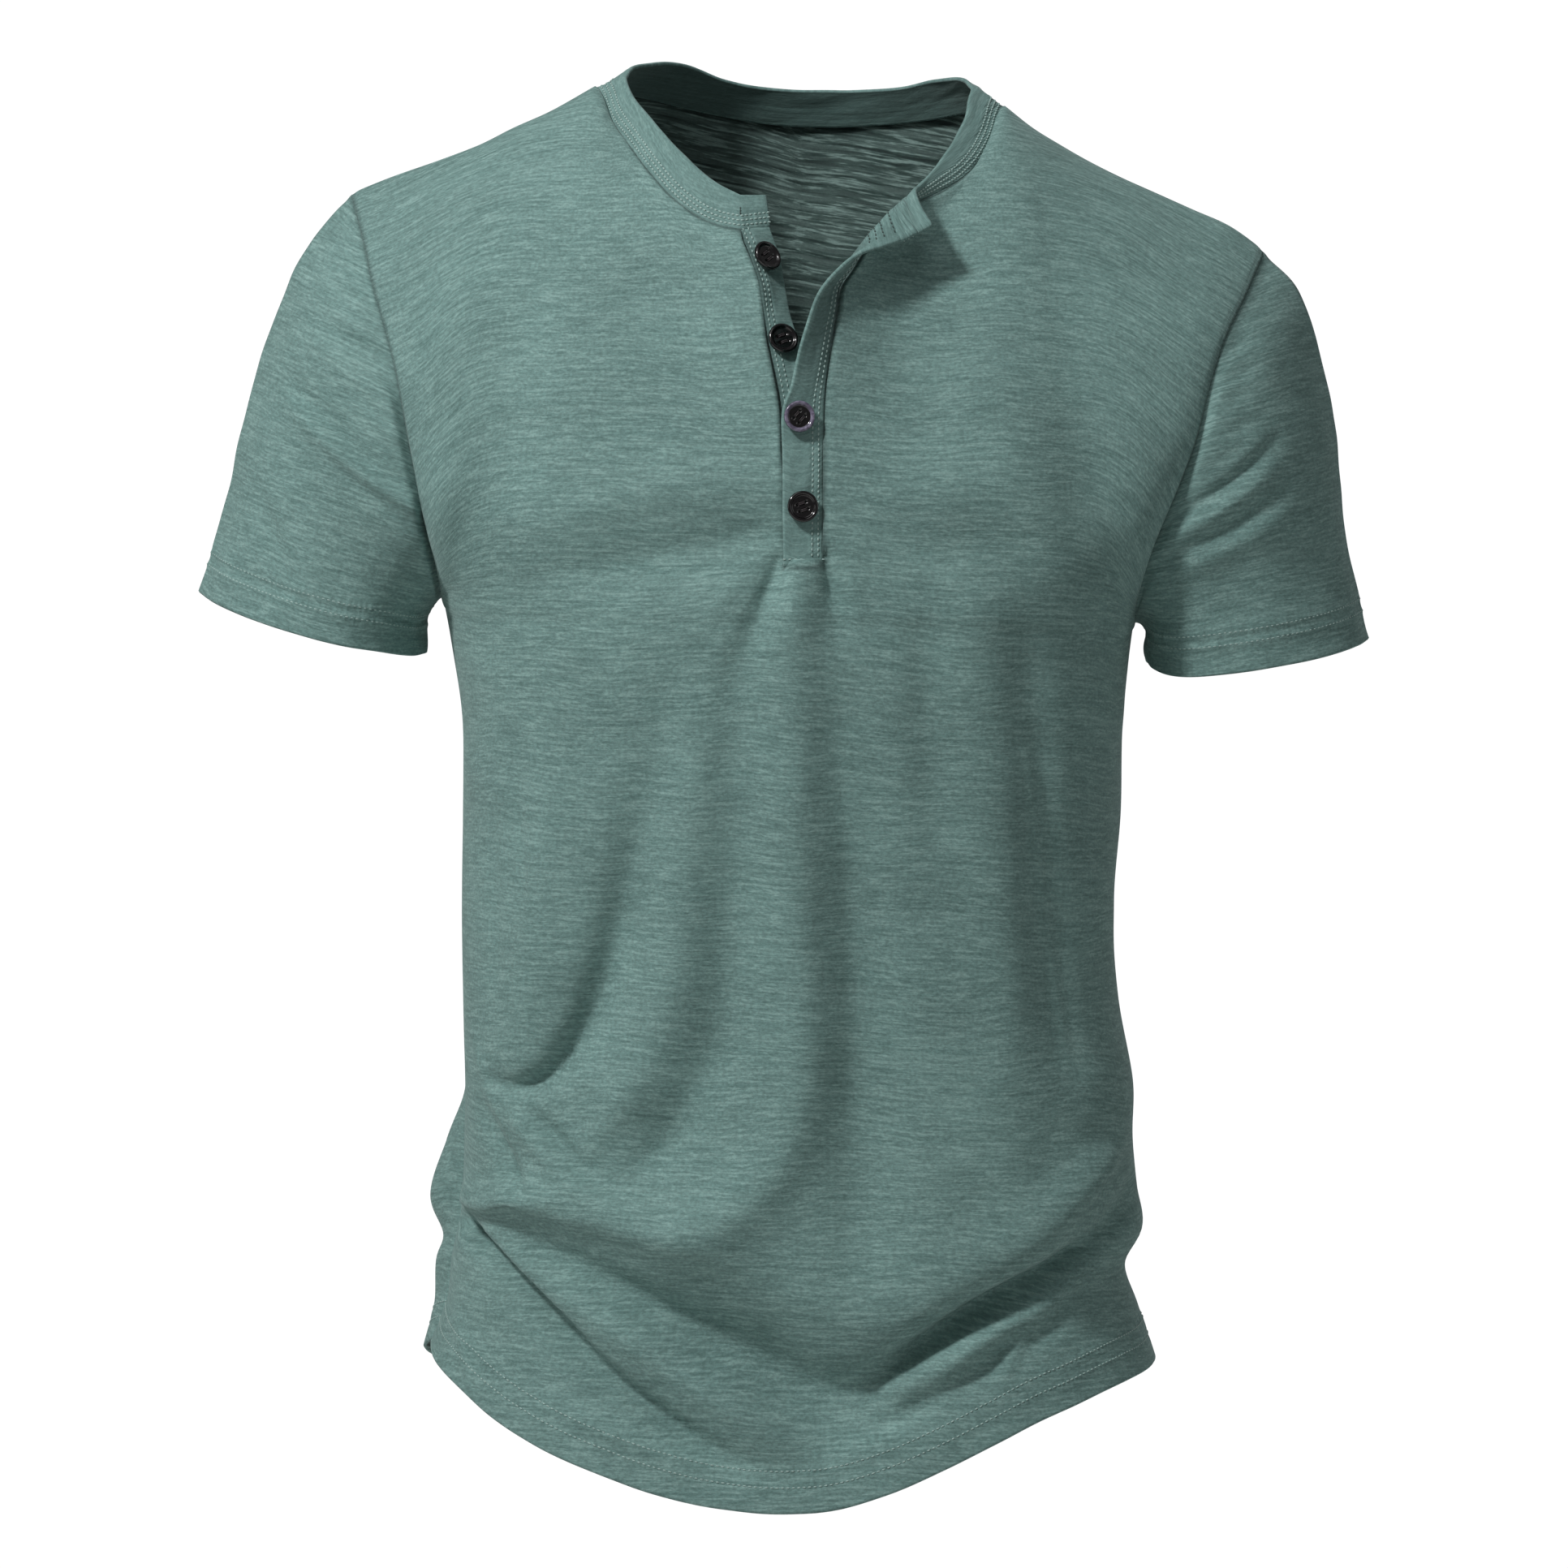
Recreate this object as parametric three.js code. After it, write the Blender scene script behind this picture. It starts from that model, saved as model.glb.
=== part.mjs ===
import * as THREE from 'three';

// A short-sleeved henley shirt, standing as it is worn with nobody in it.
// Millimetres. +Z is up and the front of the shirt faces -Y, so the wearer's right is -X.
// The origin is the middle of the shoulder line, between the two neck points of the seams.

// Cloth and sewing
const BODY_WALL = 1.6;
const BAND_WALL = 2.0;
const PLACKET_WALL = 1.8;
const SEAM_GAP = 0.3;
// Each edge draws back this much more than half the gap, so that a bent seam keeps it
const SEAM_SLACK = 1.15;

// Buttons
const BUTTON_DIAMETER = 15;
const BUTTON_THICKNESS = 3.2;
const BUTTON_RIM_WIDTH = 2.2;
const BUTTON_DISH_DEPTH = 0.9;
const BUTTON_HOLE_DIAMETER = 1.8;
const BUTTON_HOLE_SPACING = 3.4;
const BUTTON_STAND_OFF = 0.5;
const BUTTON_SEGMENTS = 22;
const BUTTON_HOLE_SEGMENTS = 8;

// How the panels are divided: u runs from one side seam (-1) to the other (+1)
const NECK_SHARE = 0.5;
const SLOT_HALF = 0.033;
const SIDE_COLUMNS = 5;
const NECK_COLUMNS = 8;
const UPPER_ROWS = 12;
const SLOT_START = 0.065;
const SLEEVE_ROWS = 9;
const BAND_ROWS = 3;
const PLACKET_COLUMNS = 6;
const RING_POWER = 0.8;

// Where along u the neck's column shape turns into the shoulder's, and where the armhole starts to pull
const SHOULDER_FROM = 0.12;
const SHOULDER_SPAN = 0.42;
const ARMHOLE_PULL_FROM = 0.3;

// How a column leaves the underarm section: out and up at the neck and at the shoulder
const LEAVE = { neckOut: 18, neckUp: 150, shoulderOut: 60, shoulderUp: 210 };
// How it arrives at its top: back in towards the shoulder line, and up
const ARRIVE = {
  front: { neckIn: 62, neckUp: 150, shoulderIn: 200, shoulderUp: 55 },
  back: { neckIn: 40, neckUp: 150, shoulderIn: 230, shoulderUp: 60 },
};

// How a sleeve leaves its armhole and arrives at its cuff: at the underarm and at the top of the arm
const SLEEVE_LEAVE = { underOut: 34, topOut: 136, underDown: 14, topDown: 85, round: 26 };
const SLEEVE_ARRIVE = { underOut: 8, topOut: 66, underDown: 34, topDown: 188, round: -8 };

// How strongly a fold keeps standing out at its ends, over what share of its path it grows,
// and how much of its push goes sideways
const FOLD_END_SHARE = 0.25;
const FOLD_GROWTH = 5;
const FOLD_SIDE_SHARE = 0.6;
// Folds fade out over a sixth of each half panel before the side seam
const FOLD_SEAM_FADE = 6;

// Level sections of the body from the underarm to the hem.
// heightR and heightL are the heights at the two side seams, reachR and reachL the half widths,
// front and back the depths, bulgeR how far the back stands out past the right side seam,
// and hem the share of the hem's curve that the section follows.
const BODY_SECTION_NAMES = ['heightR', 'heightL', 'reachR', 'reachL', 'front', 'back', 'bulgeR', 'hem'];
const BODY_SECTION_ROWS = [
  [-243, -256, 176, 161, 123, 106, 0, 0],
  [-268, -276, 171.5, 158.5, 122, 104, 0, 0],
  [-304, -307, 166.5, 155.5, 119, 101, 0, 0],
  [-350, -350, 166.5, 155, 115, 97, 0, 0.02],
  [-398, -398, 167, 151, 111, 95, 0, 0.08],
  [-440, -440, 166.5, 154, 108, 95, 0, 0.18],
  [-480, -480, 165.5, 161, 108, 98, 1, 0.3],
  [-508, -508, 166, 161, 110, 101, 11, 0.42],
  [-536, -533, 167, 163.5, 112, 104, 20, 0.55],
  [-556, -552, 170, 166, 110, 103, 10, 0.66],
  [-568, -571, 172.5, 157.5, 109, 102, 11, 0.76],
  [-590, -592, 175, 164, 111, 103, 10, 0.89],
  [-610, -617, 182.5, 172, 114, 104, 11, 1],
];

const BODY_SECTIONS = BODY_SECTION_ROWS.map(
  (row) => Object.fromEntries(BODY_SECTION_NAMES.map((name, k) => [name, row[k]])),
);

// How far the hem falls below the side seams, across each panel.
const HEM_CURVE = [
  { u: -1, front: 0, back: 0 },
  { u: -0.9, front: 5, back: 4 },
  { u: -0.8, front: 9, back: 7 },
  { u: -0.7, front: 15, back: 12 },
  { u: -0.6, front: 24, back: 20 },
  { u: -0.5, front: 33, back: 28 },
  { u: -0.4, front: 42, back: 36 },
  { u: -0.3, front: 50, back: 43 },
  { u: -0.2, front: 58, back: 50 },
  { u: -0.1, front: 64, back: 56 },
  { u: 0, front: 66, back: 58 },
  { u: 0.1, front: 57, back: 52 },
  { u: 0.2, front: 45, back: 42 },
  { u: 0.3, front: 33, back: 31 },
  { u: 0.4, front: 23, back: 22 },
  { u: 0.5, front: 16, back: 15 },
  { u: 0.6, front: 10, back: 10 },
  { u: 0.7, front: 6, back: 6 },
  { u: 0.8, front: 3.5, back: 3 },
  { u: 0.9, front: 1.5, back: 1 },
  { u: 1, front: 0, back: 0 },
];

// The largest folds of the body: out is how far they stand out, in plan x and z.
const BODY_FOLDS = [
  {
    side: 'front', out: -5, width: 15,
    path: [[-58, -290], [-92, -390], [-118, -450], [-142, -487]],
  },
  {
    side: 'front', out: 3, width: 14,
    path: [[-120, -330], [-135, -400], [-158, -470]],
  },
  {
    side: 'front', out: -4, width: 18,
    path: [[12, -262], [20, -400], [24, -560]],
  },
  {
    side: 'front', out: -6, width: 14,
    path: [[-150, -548], [-90, -572], [-36, -592], [44, -613], [110, -596], [164, -566]],
  },
  {
    side: 'front', out: 4, width: 13,
    path: [[-60, -615], [40, -637], [110, -620], [158, -588]],
  },
  {
    side: 'front', out: -4, width: 10,
    path: [[-172, -562], [-116, -606], [-56, -664]],
  },
  {
    side: 'back', out: -5, width: 17,
    path: [[60, -300], [92, -400], [120, -480]],
  },
  {
    side: 'back', out: -5, width: 17,
    path: [[-50, -320], [-86, -410], [-110, -500]],
  },
  {
    side: 'back', out: -6, width: 15,
    path: [[-140, -545], [-50, -585], [60, -590], [140, -550]],
  },
];

// Seams of the shoulders and the neck, each from the wearer's right to the left.
const SHOULDER_RIGHT = [
  [-222, 0, -46], [-202, 0, -38], [-179, 0, -30], [-158, 0, -22], [-142, 0, -14],
  [-124, 0, -6], [-101.7, 0, 6.5],
];
const SHOULDER_LEFT = [
  [98, 0, -3], [112, 0, -14], [125, 0, -22], [139, 0, -30], [155, 0, -38],
  [173, 0, -46], [191, 0, -54], [209, 0, -62], [226, 0, -74],
];
const NECK_FRONT_RIGHT = [
  [-101.7, 0, 6.5], [-99, -8, 0.8], [-94.7, -22, -10.4], [-85.5, -42, -23.6], [-74.9, -60, -38],
  [-63, -73, -51.6], [-51.2, -81, -60.9], [-41.4, -86.5, -65.5], [-30.5, -91, -67.6],
];
const NECK_FRONT_LEFT = [
  [44.8, -83, -57.5], [52.3, -75, -54], [62.3, -64, -49.5], [74.3, -52, -42.6], [83.7, -40, -33.6],
  [91.3, -24, -20.8], [95.8, -8, -7.9], [98, 0, -3],
];
const NECK_BACK = [
  [-101.7, 0, 6.5], [-97, 27, 7.5], [-80, 59, 6.5], [-50, 80, 0.5], [-14, 91, -5],
  [22, 91, -6], [55, 76, -4.5], [79, 52, -2], [94, 22, -1], [98, 0, -3],
];

// Seams of the armholes, each from the shoulder to the underarm.
const ARMHOLES = {
  frontRight: [
    [-222, 0, -46], [-214, -30, -71], [-208, -48, -94], [-197, -63, -131], [-189, -68, -171],
    [-182, -62, -206], [-177, -45, -227], [-175.5, -20, -239], [-176, 0, -243],
  ],
  backRight: [
    [-222, 0, -46], [-214, 30, -71], [-207, 50, -94], [-196, 66, -131], [-190, 71, -171],
    [-184, 64, -206], [-179, 45, -228], [-177, 20, -239], [-176, 0, -243],
  ],
  frontLeft: [
    [226, 0, -74], [214, -30, -98], [203, -50, -119], [195, -61, -142], [188, -66, -168],
    [178, -66, -194], [168, -58, -218], [162, -42, -238], [160, -20, -250], [161, 0, -256],
  ],
  backLeft: [
    [226, 0, -74], [215, 30, -98], [205, 50, -121], [196, 64, -148], [188, 70, -178],
    [179, 66, -206], [169, 52, -232], [163, 28, -248], [161, 0, -256],
  ],
};

// Open ends of the sleeves, from the outer side round the front to the inner side, and back.
const CUFFS = {
  frontRight: [
    [-299, 0, -240], [-288, -22, -246], [-273, -37, -252], [-252, -50, -259], [-226, -54, -266],
    [-204, -44, -270], [-190, -22, -272], [-184, 0, -271],
  ],
  backRight: [
    [-299, 0, -240], [-292, 24, -243], [-276, 44, -248], [-252, 57, -255], [-224, 58, -262],
    [-202, 45, -267], [-189, 22, -270], [-184, 0, -271],
  ],
  frontLeft: [
    [280, 0, -263], [273, -20, -266], [260, -37, -270], [238, -51, -275], [208, -53, -280],
    [182, -40, -282], [169, -20, -279], [165.5, 0, -273],
  ],
  backLeft: [
    [280, 0, -263], [276, 24, -264], [262, 44, -267], [238, 57, -271], [208, 57, -276],
    [183, 42, -278], [169, 21, -277], [165.5, 0, -273],
  ],
};

// Free upper edge of the neckband, from its right end round the back to its turned-out left end.
const BAND_EDGE = {
  rightEnd: [[-18.5, -79, -50.3], [-30.5, -82.5, -50.5]],
  frontRight: [
    [-30.5, -82.5, -50.5], [-41.5, -77.5, -44.8], [-51.3, -69, -36.9], [-63.3, -55, -24.4], [-73.8, -38, -11.5],
    [-82.9, -20, 0], [-86.3, -8, 7.5], [-87.3, 0, 11.7],
  ],
  back: [
    [-87.3, 0, 11.7], [-84.1, 18, 18.2], [-72.5, 40, 22.3], [-59.1, 56, 22.3], [-39.3, 72, 15.8],
    [-13.3, 82, 12], [21.9, 82, 11.2], [49.4, 66, 11.7], [64.8, 48, 14], [79.4, 18, 12.6],
    [83.3, 0, 7.3],
  ],
  frontLeft: [
    [83.3, 0, 7.3], [81.3, -12, 0.5], [79.5, -22, -8.5], [73.1, -40, -21.9], [66, -54, -32.9],
    [58.3, -67, -42.7], [54.6, -76, -47.6],
  ],
  leftEnd: [[54.6, -76, -47.6], [53.8, -83, -51], [56, -90, -57.5], [61, -96, -65.9]],
};

// The strip with the upper buttons, down from the neck seam: its seam and its free edge.
const UNDER_PLACKET = [
  { seam: [-30.5, -91, -67.6], edge: [-16.6, -84, -66.1] },
  { seam: [-24.5, -98, -81.5], edge: [-11.5, -86, -80.9] },
  { seam: [-20.8, -101, -92], edge: [-9.6, -89, -91.5] },
  { seam: [-18.5, -105, -107.2], edge: [-6.9, -95, -106.8] },
  { seam: [-16.5, -108, -121.2], edge: [-2.6, -102, -121] },
  { seam: [-13.3, -111.5, -136.7], edge: [2.7, -107, -136.5] },
  { seam: [-10.6, -114, -152.1], edge: [6.4, -110.6, -152] },
  { seam: [-9.3, -117, -175.2], edge: [7.7, -113.2, -175.2] },
  { seam: [-9.2, -119.5, -202.2], edge: [7.7, -115.8, -202.1] },
  { seam: [-9, -121, -227.9], edge: [7.7, -117.4, -227.9] },
];

// The strip with the lower buttons, down from the neck seam. Its top is turned out.
const OVER_PLACKET = [
  { seam: [44.8, -83, -57.5], middle: [41.5, -93, -61.4], edge: [45.4, -100, -73.9] },
  { seam: [39.7, -87, -63.2], middle: [36.4, -97.5, -66.7], edge: [37.9, -106, -76.7] },
  { seam: [33.8, -91, -70.3], middle: [31, -101.5, -72.4], edge: [30.5, -110, -79.2] },
  { seam: [27.9, -95, -78.2], middle: [25.1, -105.5, -79.9], edge: [23.5, -114, -82.9] },
  { seam: [22.9, -98.5, -86.1], middle: [19.7, -109, -87], edge: [17.3, -116, -87.7] },
  { seam: [17.4, -102.5, -94.8], middle: [12, -112, -95.9], edge: [8.1, -119, -98.2] },
  { seam: [15.5, -106, -107.2], middle: [8.9, -114, -109.1], edge: [2.7, -120.5, -111.6] },
  { seam: [13.1, -109.5, -123.1], middle: [5.4, -116, -124.5], edge: [-1.9, -121, -126.2] },
  { seam: [10.6, -112.5, -139], middle: [1.9, -117.5, -141.4], edge: [-6.1, -121, -144.6] },
  { seam: [9.4, -114.5, -152.9], middle: [-0.4, -118.3, -153.7], edge: [-9.6, -120.3, -154.5] },
  { seam: [9.2, -117, -175.2], middle: [-0.8, -120, -175.3], edge: [-9.8, -121.8, -175.3] },
  { seam: [9.1, -119.5, -202.2], middle: [-0.8, -122.2, -202.2], edge: [-9.6, -124, -202.2] },
  { seam: [9, -121, -227.9], middle: [-0.4, -123.6, -227.9], edge: [-9.4, -125.4, -227.9] },
];

// Where each button sits: how far down its strip and how far across from the seam.
const BUTTONS = [
  { name: 'button_1', strip: 'under', down: 0.1, across: 0.42 },
  { name: 'button_2', strip: 'under', down: 0.35, across: 0.4 },
  { name: 'button_3', strip: 'over', down: 0.615, across: 0.64 },
  { name: 'button_4', strip: 'over', down: 0.85, across: 0.56 },
];

const CLOTH = new THREE.MeshStandardMaterial({ name: 'jersey', color: 0x76958f, roughness: 0.9 });
const BAND_CLOTH = new THREE.MeshStandardMaterial({ name: 'jersey_band', color: 0x6f8f89, roughness: 0.9 });
const BUTTON_MATERIAL = new THREE.MeshStandardMaterial({ name: 'button', color: 0x17110f, roughness: 0.25 });

// Small vector arithmetic on [x, y, z]
const add = (a, b) => [a[0] + b[0], a[1] + b[1], a[2] + b[2]];
const sub = (a, b) => [a[0] - b[0], a[1] - b[1], a[2] - b[2]];
const times = (a, s) => [a[0] * s, a[1] * s, a[2] * s];
const mix = (a, b, t) => add(times(a, 1 - t), times(b, t));
const cross = (a, b) => [a[1] * b[2] - a[2] * b[1], a[2] * b[0] - a[0] * b[2], a[0] * b[1] - a[1] * b[0]];
const size = (a) => Math.hypot(...a);
const unit = (a) => times(a, 1 / (size(a) || 1));
const clamp = (t, low, high) => Math.min(high, Math.max(low, t));
const blend = (a, b, t) => a + (b - a) * t;
function ease(t) {
  const c = clamp(t, 0, 1);
  return c * c * (3 - 2 * c);
}

// A smooth curve through points, read by its share of length or by its table position
function curveThrough(points) {
  const vectors = points.map((p) => new THREE.Vector3(...p));
  return new THREE.CatmullRomCurve3(vectors, false, 'centripetal');
}
const alongLength = (curve, t) => curve.getPointAt(clamp(t, 0, 1)).toArray();
const alongTable = (curve, t) => curve.getPoint(clamp(t, 0, 1)).toArray();

// A cubic from one point to another with its two leaving directions
function hermite(p0, d0, p1, d1, t) {
  const t2 = t * t;
  const t3 = t2 * t;
  const a = times(p0, 2 * t3 - 3 * t2 + 1);
  const b = times(d0, t3 - 2 * t2 + t);
  const c = times(p1, 3 * t2 - 2 * t3);
  const d = times(d1, t3 - t2);
  return add(add(a, b), add(c, d));
}

// A column of a table read between its rows
function between(table, key, column, value) {
  let k = 0;
  while (k < table.length - 2 && value > table[k + 1][key]) k += 1;
  const t = clamp((value - table[k][key]) / (table[k + 1][key] - table[k][key]), 0, 1);
  return blend(table[k][column], table[k + 1][column], t);
}

// How far the folds push a point of one side of the body in or out
function foldShift(side, x, z) {
  let shift = 0;
  for (const fold of BODY_FOLDS) {
    if (fold.side !== side) continue;
    let nearest = 1e9;
    let share = 0;
    const last = fold.path.length - 1;
    for (let k = 0; k < last; k += 1) {
      const [ax, az] = fold.path[k];
      const [bx, bz] = fold.path[k + 1];
      const length2 = (bx - ax) ** 2 + (bz - az) ** 2;
      const t = clamp(((x - ax) * (bx - ax) + (z - az) * (bz - az)) / length2, 0, 1);
      const distance = Math.hypot(x - ax - (bx - ax) * t, z - az - (bz - az) * t);
      if (distance < nearest) {
        nearest = distance;
        share = (k + t) / last;
      }
    }
    const taper = ease(share * FOLD_GROWTH) * ease((1 - share) * FOLD_GROWTH);
    const height = FOLD_END_SHARE + (1 - FOLD_END_SHARE) * taper;
    shift += fold.out * height * Math.exp(-((nearest / fold.width) ** 2));
  }
  return shift;
}

// A point of the body below the underarm: side 'front' or 'back', u across, row of BODY_SECTIONS
function lowerPoint(side, u, row) {
  const s = BODY_SECTIONS[row];
  const turn = (u * Math.PI) / 2;
  const sine = Math.sign(u) * Math.abs(Math.sin(turn)) ** RING_POWER;
  const cosine = Math.abs(Math.cos(turn)) < 1e-9 ? 0 : Math.cos(turn) ** RING_POWER;
  const facing = side === 'front' ? -1 : 1;
  const nearRightSeam = u < 0 ? Math.max(0, Math.sin(Math.PI * Math.abs(u) ** 5)) : 0;
  const bulge = side === 'back' ? s.bulgeR * nearRightSeam : 0;
  const x = (u < 0 ? s.reachR : s.reachL) * sine - bulge;
  const depth = side === 'front' ? s.front : s.back;
  const height = s.heightR + ((s.heightL - s.heightR) * (u + 1)) / 2;
  const z = height - s.hem * between(HEM_CURVE, 'u', side, u);
  const out = foldShift(side, x, z) * ease((1 - Math.abs(u)) * FOLD_SEAM_FADE);
  const y = facing * (depth * cosine + out * Math.cos(turn));
  return [x + Math.sin(turn) * out * FOLD_SIDE_SHARE, y, z];
}

// The top edge of a panel: shoulder seam, neckline, shoulder seam
const shoulderRight = curveThrough(SHOULDER_RIGHT);
const shoulderLeft = curveThrough(SHOULDER_LEFT);
const neckFrontRight = curveThrough(NECK_FRONT_RIGHT);
const neckFrontLeft = curveThrough(NECK_FRONT_LEFT);
const neckBack = curveThrough(NECK_BACK);
function topPoint(side, u) {
  const away = Math.abs(u);
  if (away >= NECK_SHARE) {
    const t = (away - NECK_SHARE) / (1 - NECK_SHARE);
    return u < 0 ? alongLength(shoulderRight, 1 - t) : alongLength(shoulderLeft, t);
  }
  if (side === 'back') return alongLength(neckBack, (u + NECK_SHARE) / (2 * NECK_SHARE));
  const t = clamp((away - SLOT_HALF) / (NECK_SHARE - SLOT_HALF), 0, 1);
  return u < 0 ? alongLength(neckFrontRight, 1 - t) : alongLength(neckFrontLeft, t);
}

// A column of a panel from the underarm section to its top edge, before its edges are set
function plainColumn(side, u, v) {
  const facing = side === 'front' ? -1 : 1;
  const away = Math.abs(u);
  const shoulder = ease((away - SHOULDER_FROM) / SHOULDER_SPAN);
  const way = ARRIVE[side];
  const leave = [
    0,
    facing * blend(LEAVE.neckOut, LEAVE.shoulderOut, shoulder),
    blend(LEAVE.neckUp, LEAVE.shoulderUp, shoulder),
  ];
  const arrive = [
    0,
    -facing * blend(way.neckIn, way.shoulderIn, shoulder),
    blend(way.neckUp, way.shoulderUp, shoulder),
  ];
  return hermite(lowerPoint(side, u, 0), leave, topPoint(side, u), arrive, v);
}

// Seams that a panel's edges must follow
const armholes = {};
for (const [name, points] of Object.entries(ARMHOLES)) armholes[name] = curveThrough(points);
const slotSeams = {
  right: curveThrough([...UNDER_PLACKET].reverse().map((row) => row.seam)),
  left: curveThrough([...OVER_PLACKET].reverse().map((row) => row.seam)),
};

// A point of the body above the underarm: its edges are pulled to the armhole and slot seams
function upperPoint(side, u, v) {
  let point = plainColumn(side, u, v);
  const away = Math.abs(u);
  const sign = Math.sign(u) || 1;
  const armhole = armholes[side + (u < 0 ? 'Right' : 'Left')];
  const toArmhole = sub(alongLength(armhole, 1 - v), plainColumn(side, sign, v));
  const pull = ease((away - ARMHOLE_PULL_FROM) / (1 - ARMHOLE_PULL_FROM)) ** 2;
  point = add(point, times(toArmhole, pull));
  if (side === 'back') return point;
  const seam = u < 0 ? slotSeams.right : slotSeams.left;
  const seamV = Math.max(v, SLOT_START);
  const onSeam = alongLength(seam, (seamV - SLOT_START) / (1 - SLOT_START));
  const toSeam = sub(onSeam, plainColumn(side, sign * SLOT_HALF, seamV));
  const nearSeam = 1 - ease((away - SLOT_HALF) / (NECK_SHARE - SLOT_HALF));
  const atSlot = away <= SLOT_HALF + 1e-6 ? 1 : 0;
  const share = v < 1 ? nearSeam * Math.min(1, v / SLOT_START) : atSlot;
  return add(point, times(toSeam, share));
}

// Columns across a panel and rows up it
function panelColumns() {
  const half = [];
  for (let k = 0; k < SIDE_COLUMNS; k += 1) half.push(blend(1, NECK_SHARE, k / SIDE_COLUMNS));
  for (let k = 0; k <= NECK_COLUMNS; k += 1) half.push(blend(NECK_SHARE, SLOT_HALF, k / NECK_COLUMNS));
  return [...half.map((u) => -u), ...half.slice().reverse()];
}
const columns = panelColumns();
const upperShares = [0];
for (let k = 0; k <= UPPER_ROWS; k += 1) upperShares.push(blend(SLOT_START, 1, k / UPPER_ROWS));
const lowerRows = BODY_SECTIONS.length - 1;
const slotRow = lowerRows + 1;

// A panel as a grid of points, [column][row], rows from the hem to the top
function panelGrid(side) {
  const across = side === 'front' ? columns : columns.slice().reverse();
  return across.map((u) => {
    const column = [];
    for (let row = lowerRows; row > 0; row -= 1) column.push(lowerPoint(side, u, row));
    for (const v of upperShares) column.push(upperPoint(side, u, v));
    return column;
  });
}

// An open sheet of a grid: its cells as quads, facing out; loops are joined round
function sheetOf(grid, { looped = false, flipped = false, skip = () => false, thickness = BODY_WALL } = {}) {
  const rows = grid[0].length;
  const points = grid.flat();
  const quads = [];
  const spans = looped ? grid.length : grid.length - 1;
  for (let i = 0; i < spans; i += 1) {
    for (let j = 0; j < rows - 1; j += 1) {
      if (skip(i, j)) continue;
      const n = (i + 1) % grid.length;
      const quad = [i * rows + j, n * rows + j, n * rows + j + 1, i * rows + j + 1];
      quads.push(flipped ? quad.reverse() : quad);
    }
  }
  return { points, quads, thickness };
}

// Point normals of a sheet, pointing out of the cloth
function sheetNormals(sheet) {
  const normals = sheet.points.map(() => [0, 0, 0]);
  for (const [a, b, c, d] of sheet.quads) {
    const p = sheet.points;
    const normal = cross(sub(p[c], p[a]), sub(p[d], p[b]));
    for (const k of [a, b, c, d]) normals[k] = add(normals[k], unit(normal));
  }
  return normals;
}

// Edges of a sheet that belong to one quad only, in that quad's direction
function rimEdges(sheet) {
  const seen = new Map();
  for (const quad of sheet.quads) {
    quad.forEach((a, k) => seen.set(`${a},${quad[(k + 1) % 4]}`, [a, quad[(k + 1) % 4]]));
  }
  return [...seen.values()].filter(([a, b]) => !seen.has(`${b},${a}`));
}

// Sheets that meet at a seam share one normal there, then each draws back half the gap
const keyOf = (p) => p.map((c) => Math.round(c * 50)).join(',');
function settleSeams(sheets) {
  const shared = new Map();
  sheets.forEach((sheet) => {
    sheet.normals = sheetNormals(sheet);
    const used = new Set(sheet.quads.flat());
    sheet.points.forEach((p, k) => {
      if (!used.has(k)) return;
      const key = keyOf(p);
      const entry = shared.get(key) || { normal: [0, 0, 0], sheets: new Set() };
      entry.normal = add(entry.normal, unit(sheet.normals[k]));
      entry.sheets.add(sheet);
      shared.set(key, entry);
    });
  });
  sheets.forEach((sheet) => {
    const rim = rimEdges(sheet);
    const rimPoints = new Set(rim.flat());
    const onSeam = (k) => rimPoints.has(k) && shared.get(keyOf(sheet.points[k])).sheets.size > 1;
    const moves = sheet.points.map(() => [0, 0, 0]);
    for (const [a, b] of rim) {
      if (!onSeam(a) || !onSeam(b)) continue;
      const quad = sheet.quads.find((q) => q.includes(a) && q[(q.indexOf(a) + 1) % 4] === b);
      const [c0, c1, c2, c3] = quad.map((k) => sheet.points[k]);
      const facing = cross(sub(c2, c0), sub(c3, c1));
      const square = unit(cross(facing, sub(sheet.points[b], sheet.points[a])));
      for (const k of [a, b]) moves[k] = add(moves[k], square);
    }
    const drawBack = (SEAM_GAP / 2) * SEAM_SLACK;
    sheet.outer = sheet.points.map((p, k) => (size(moves[k]) ? add(p, times(unit(moves[k]), drawBack)) : p));
    sheet.depthWays = sheet.points.map((p, k) => {
      const entry = shared.get(keyOf(p));
      return unit(entry ? entry.normal : sheet.normals[k]);
    });
  });
}

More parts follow.
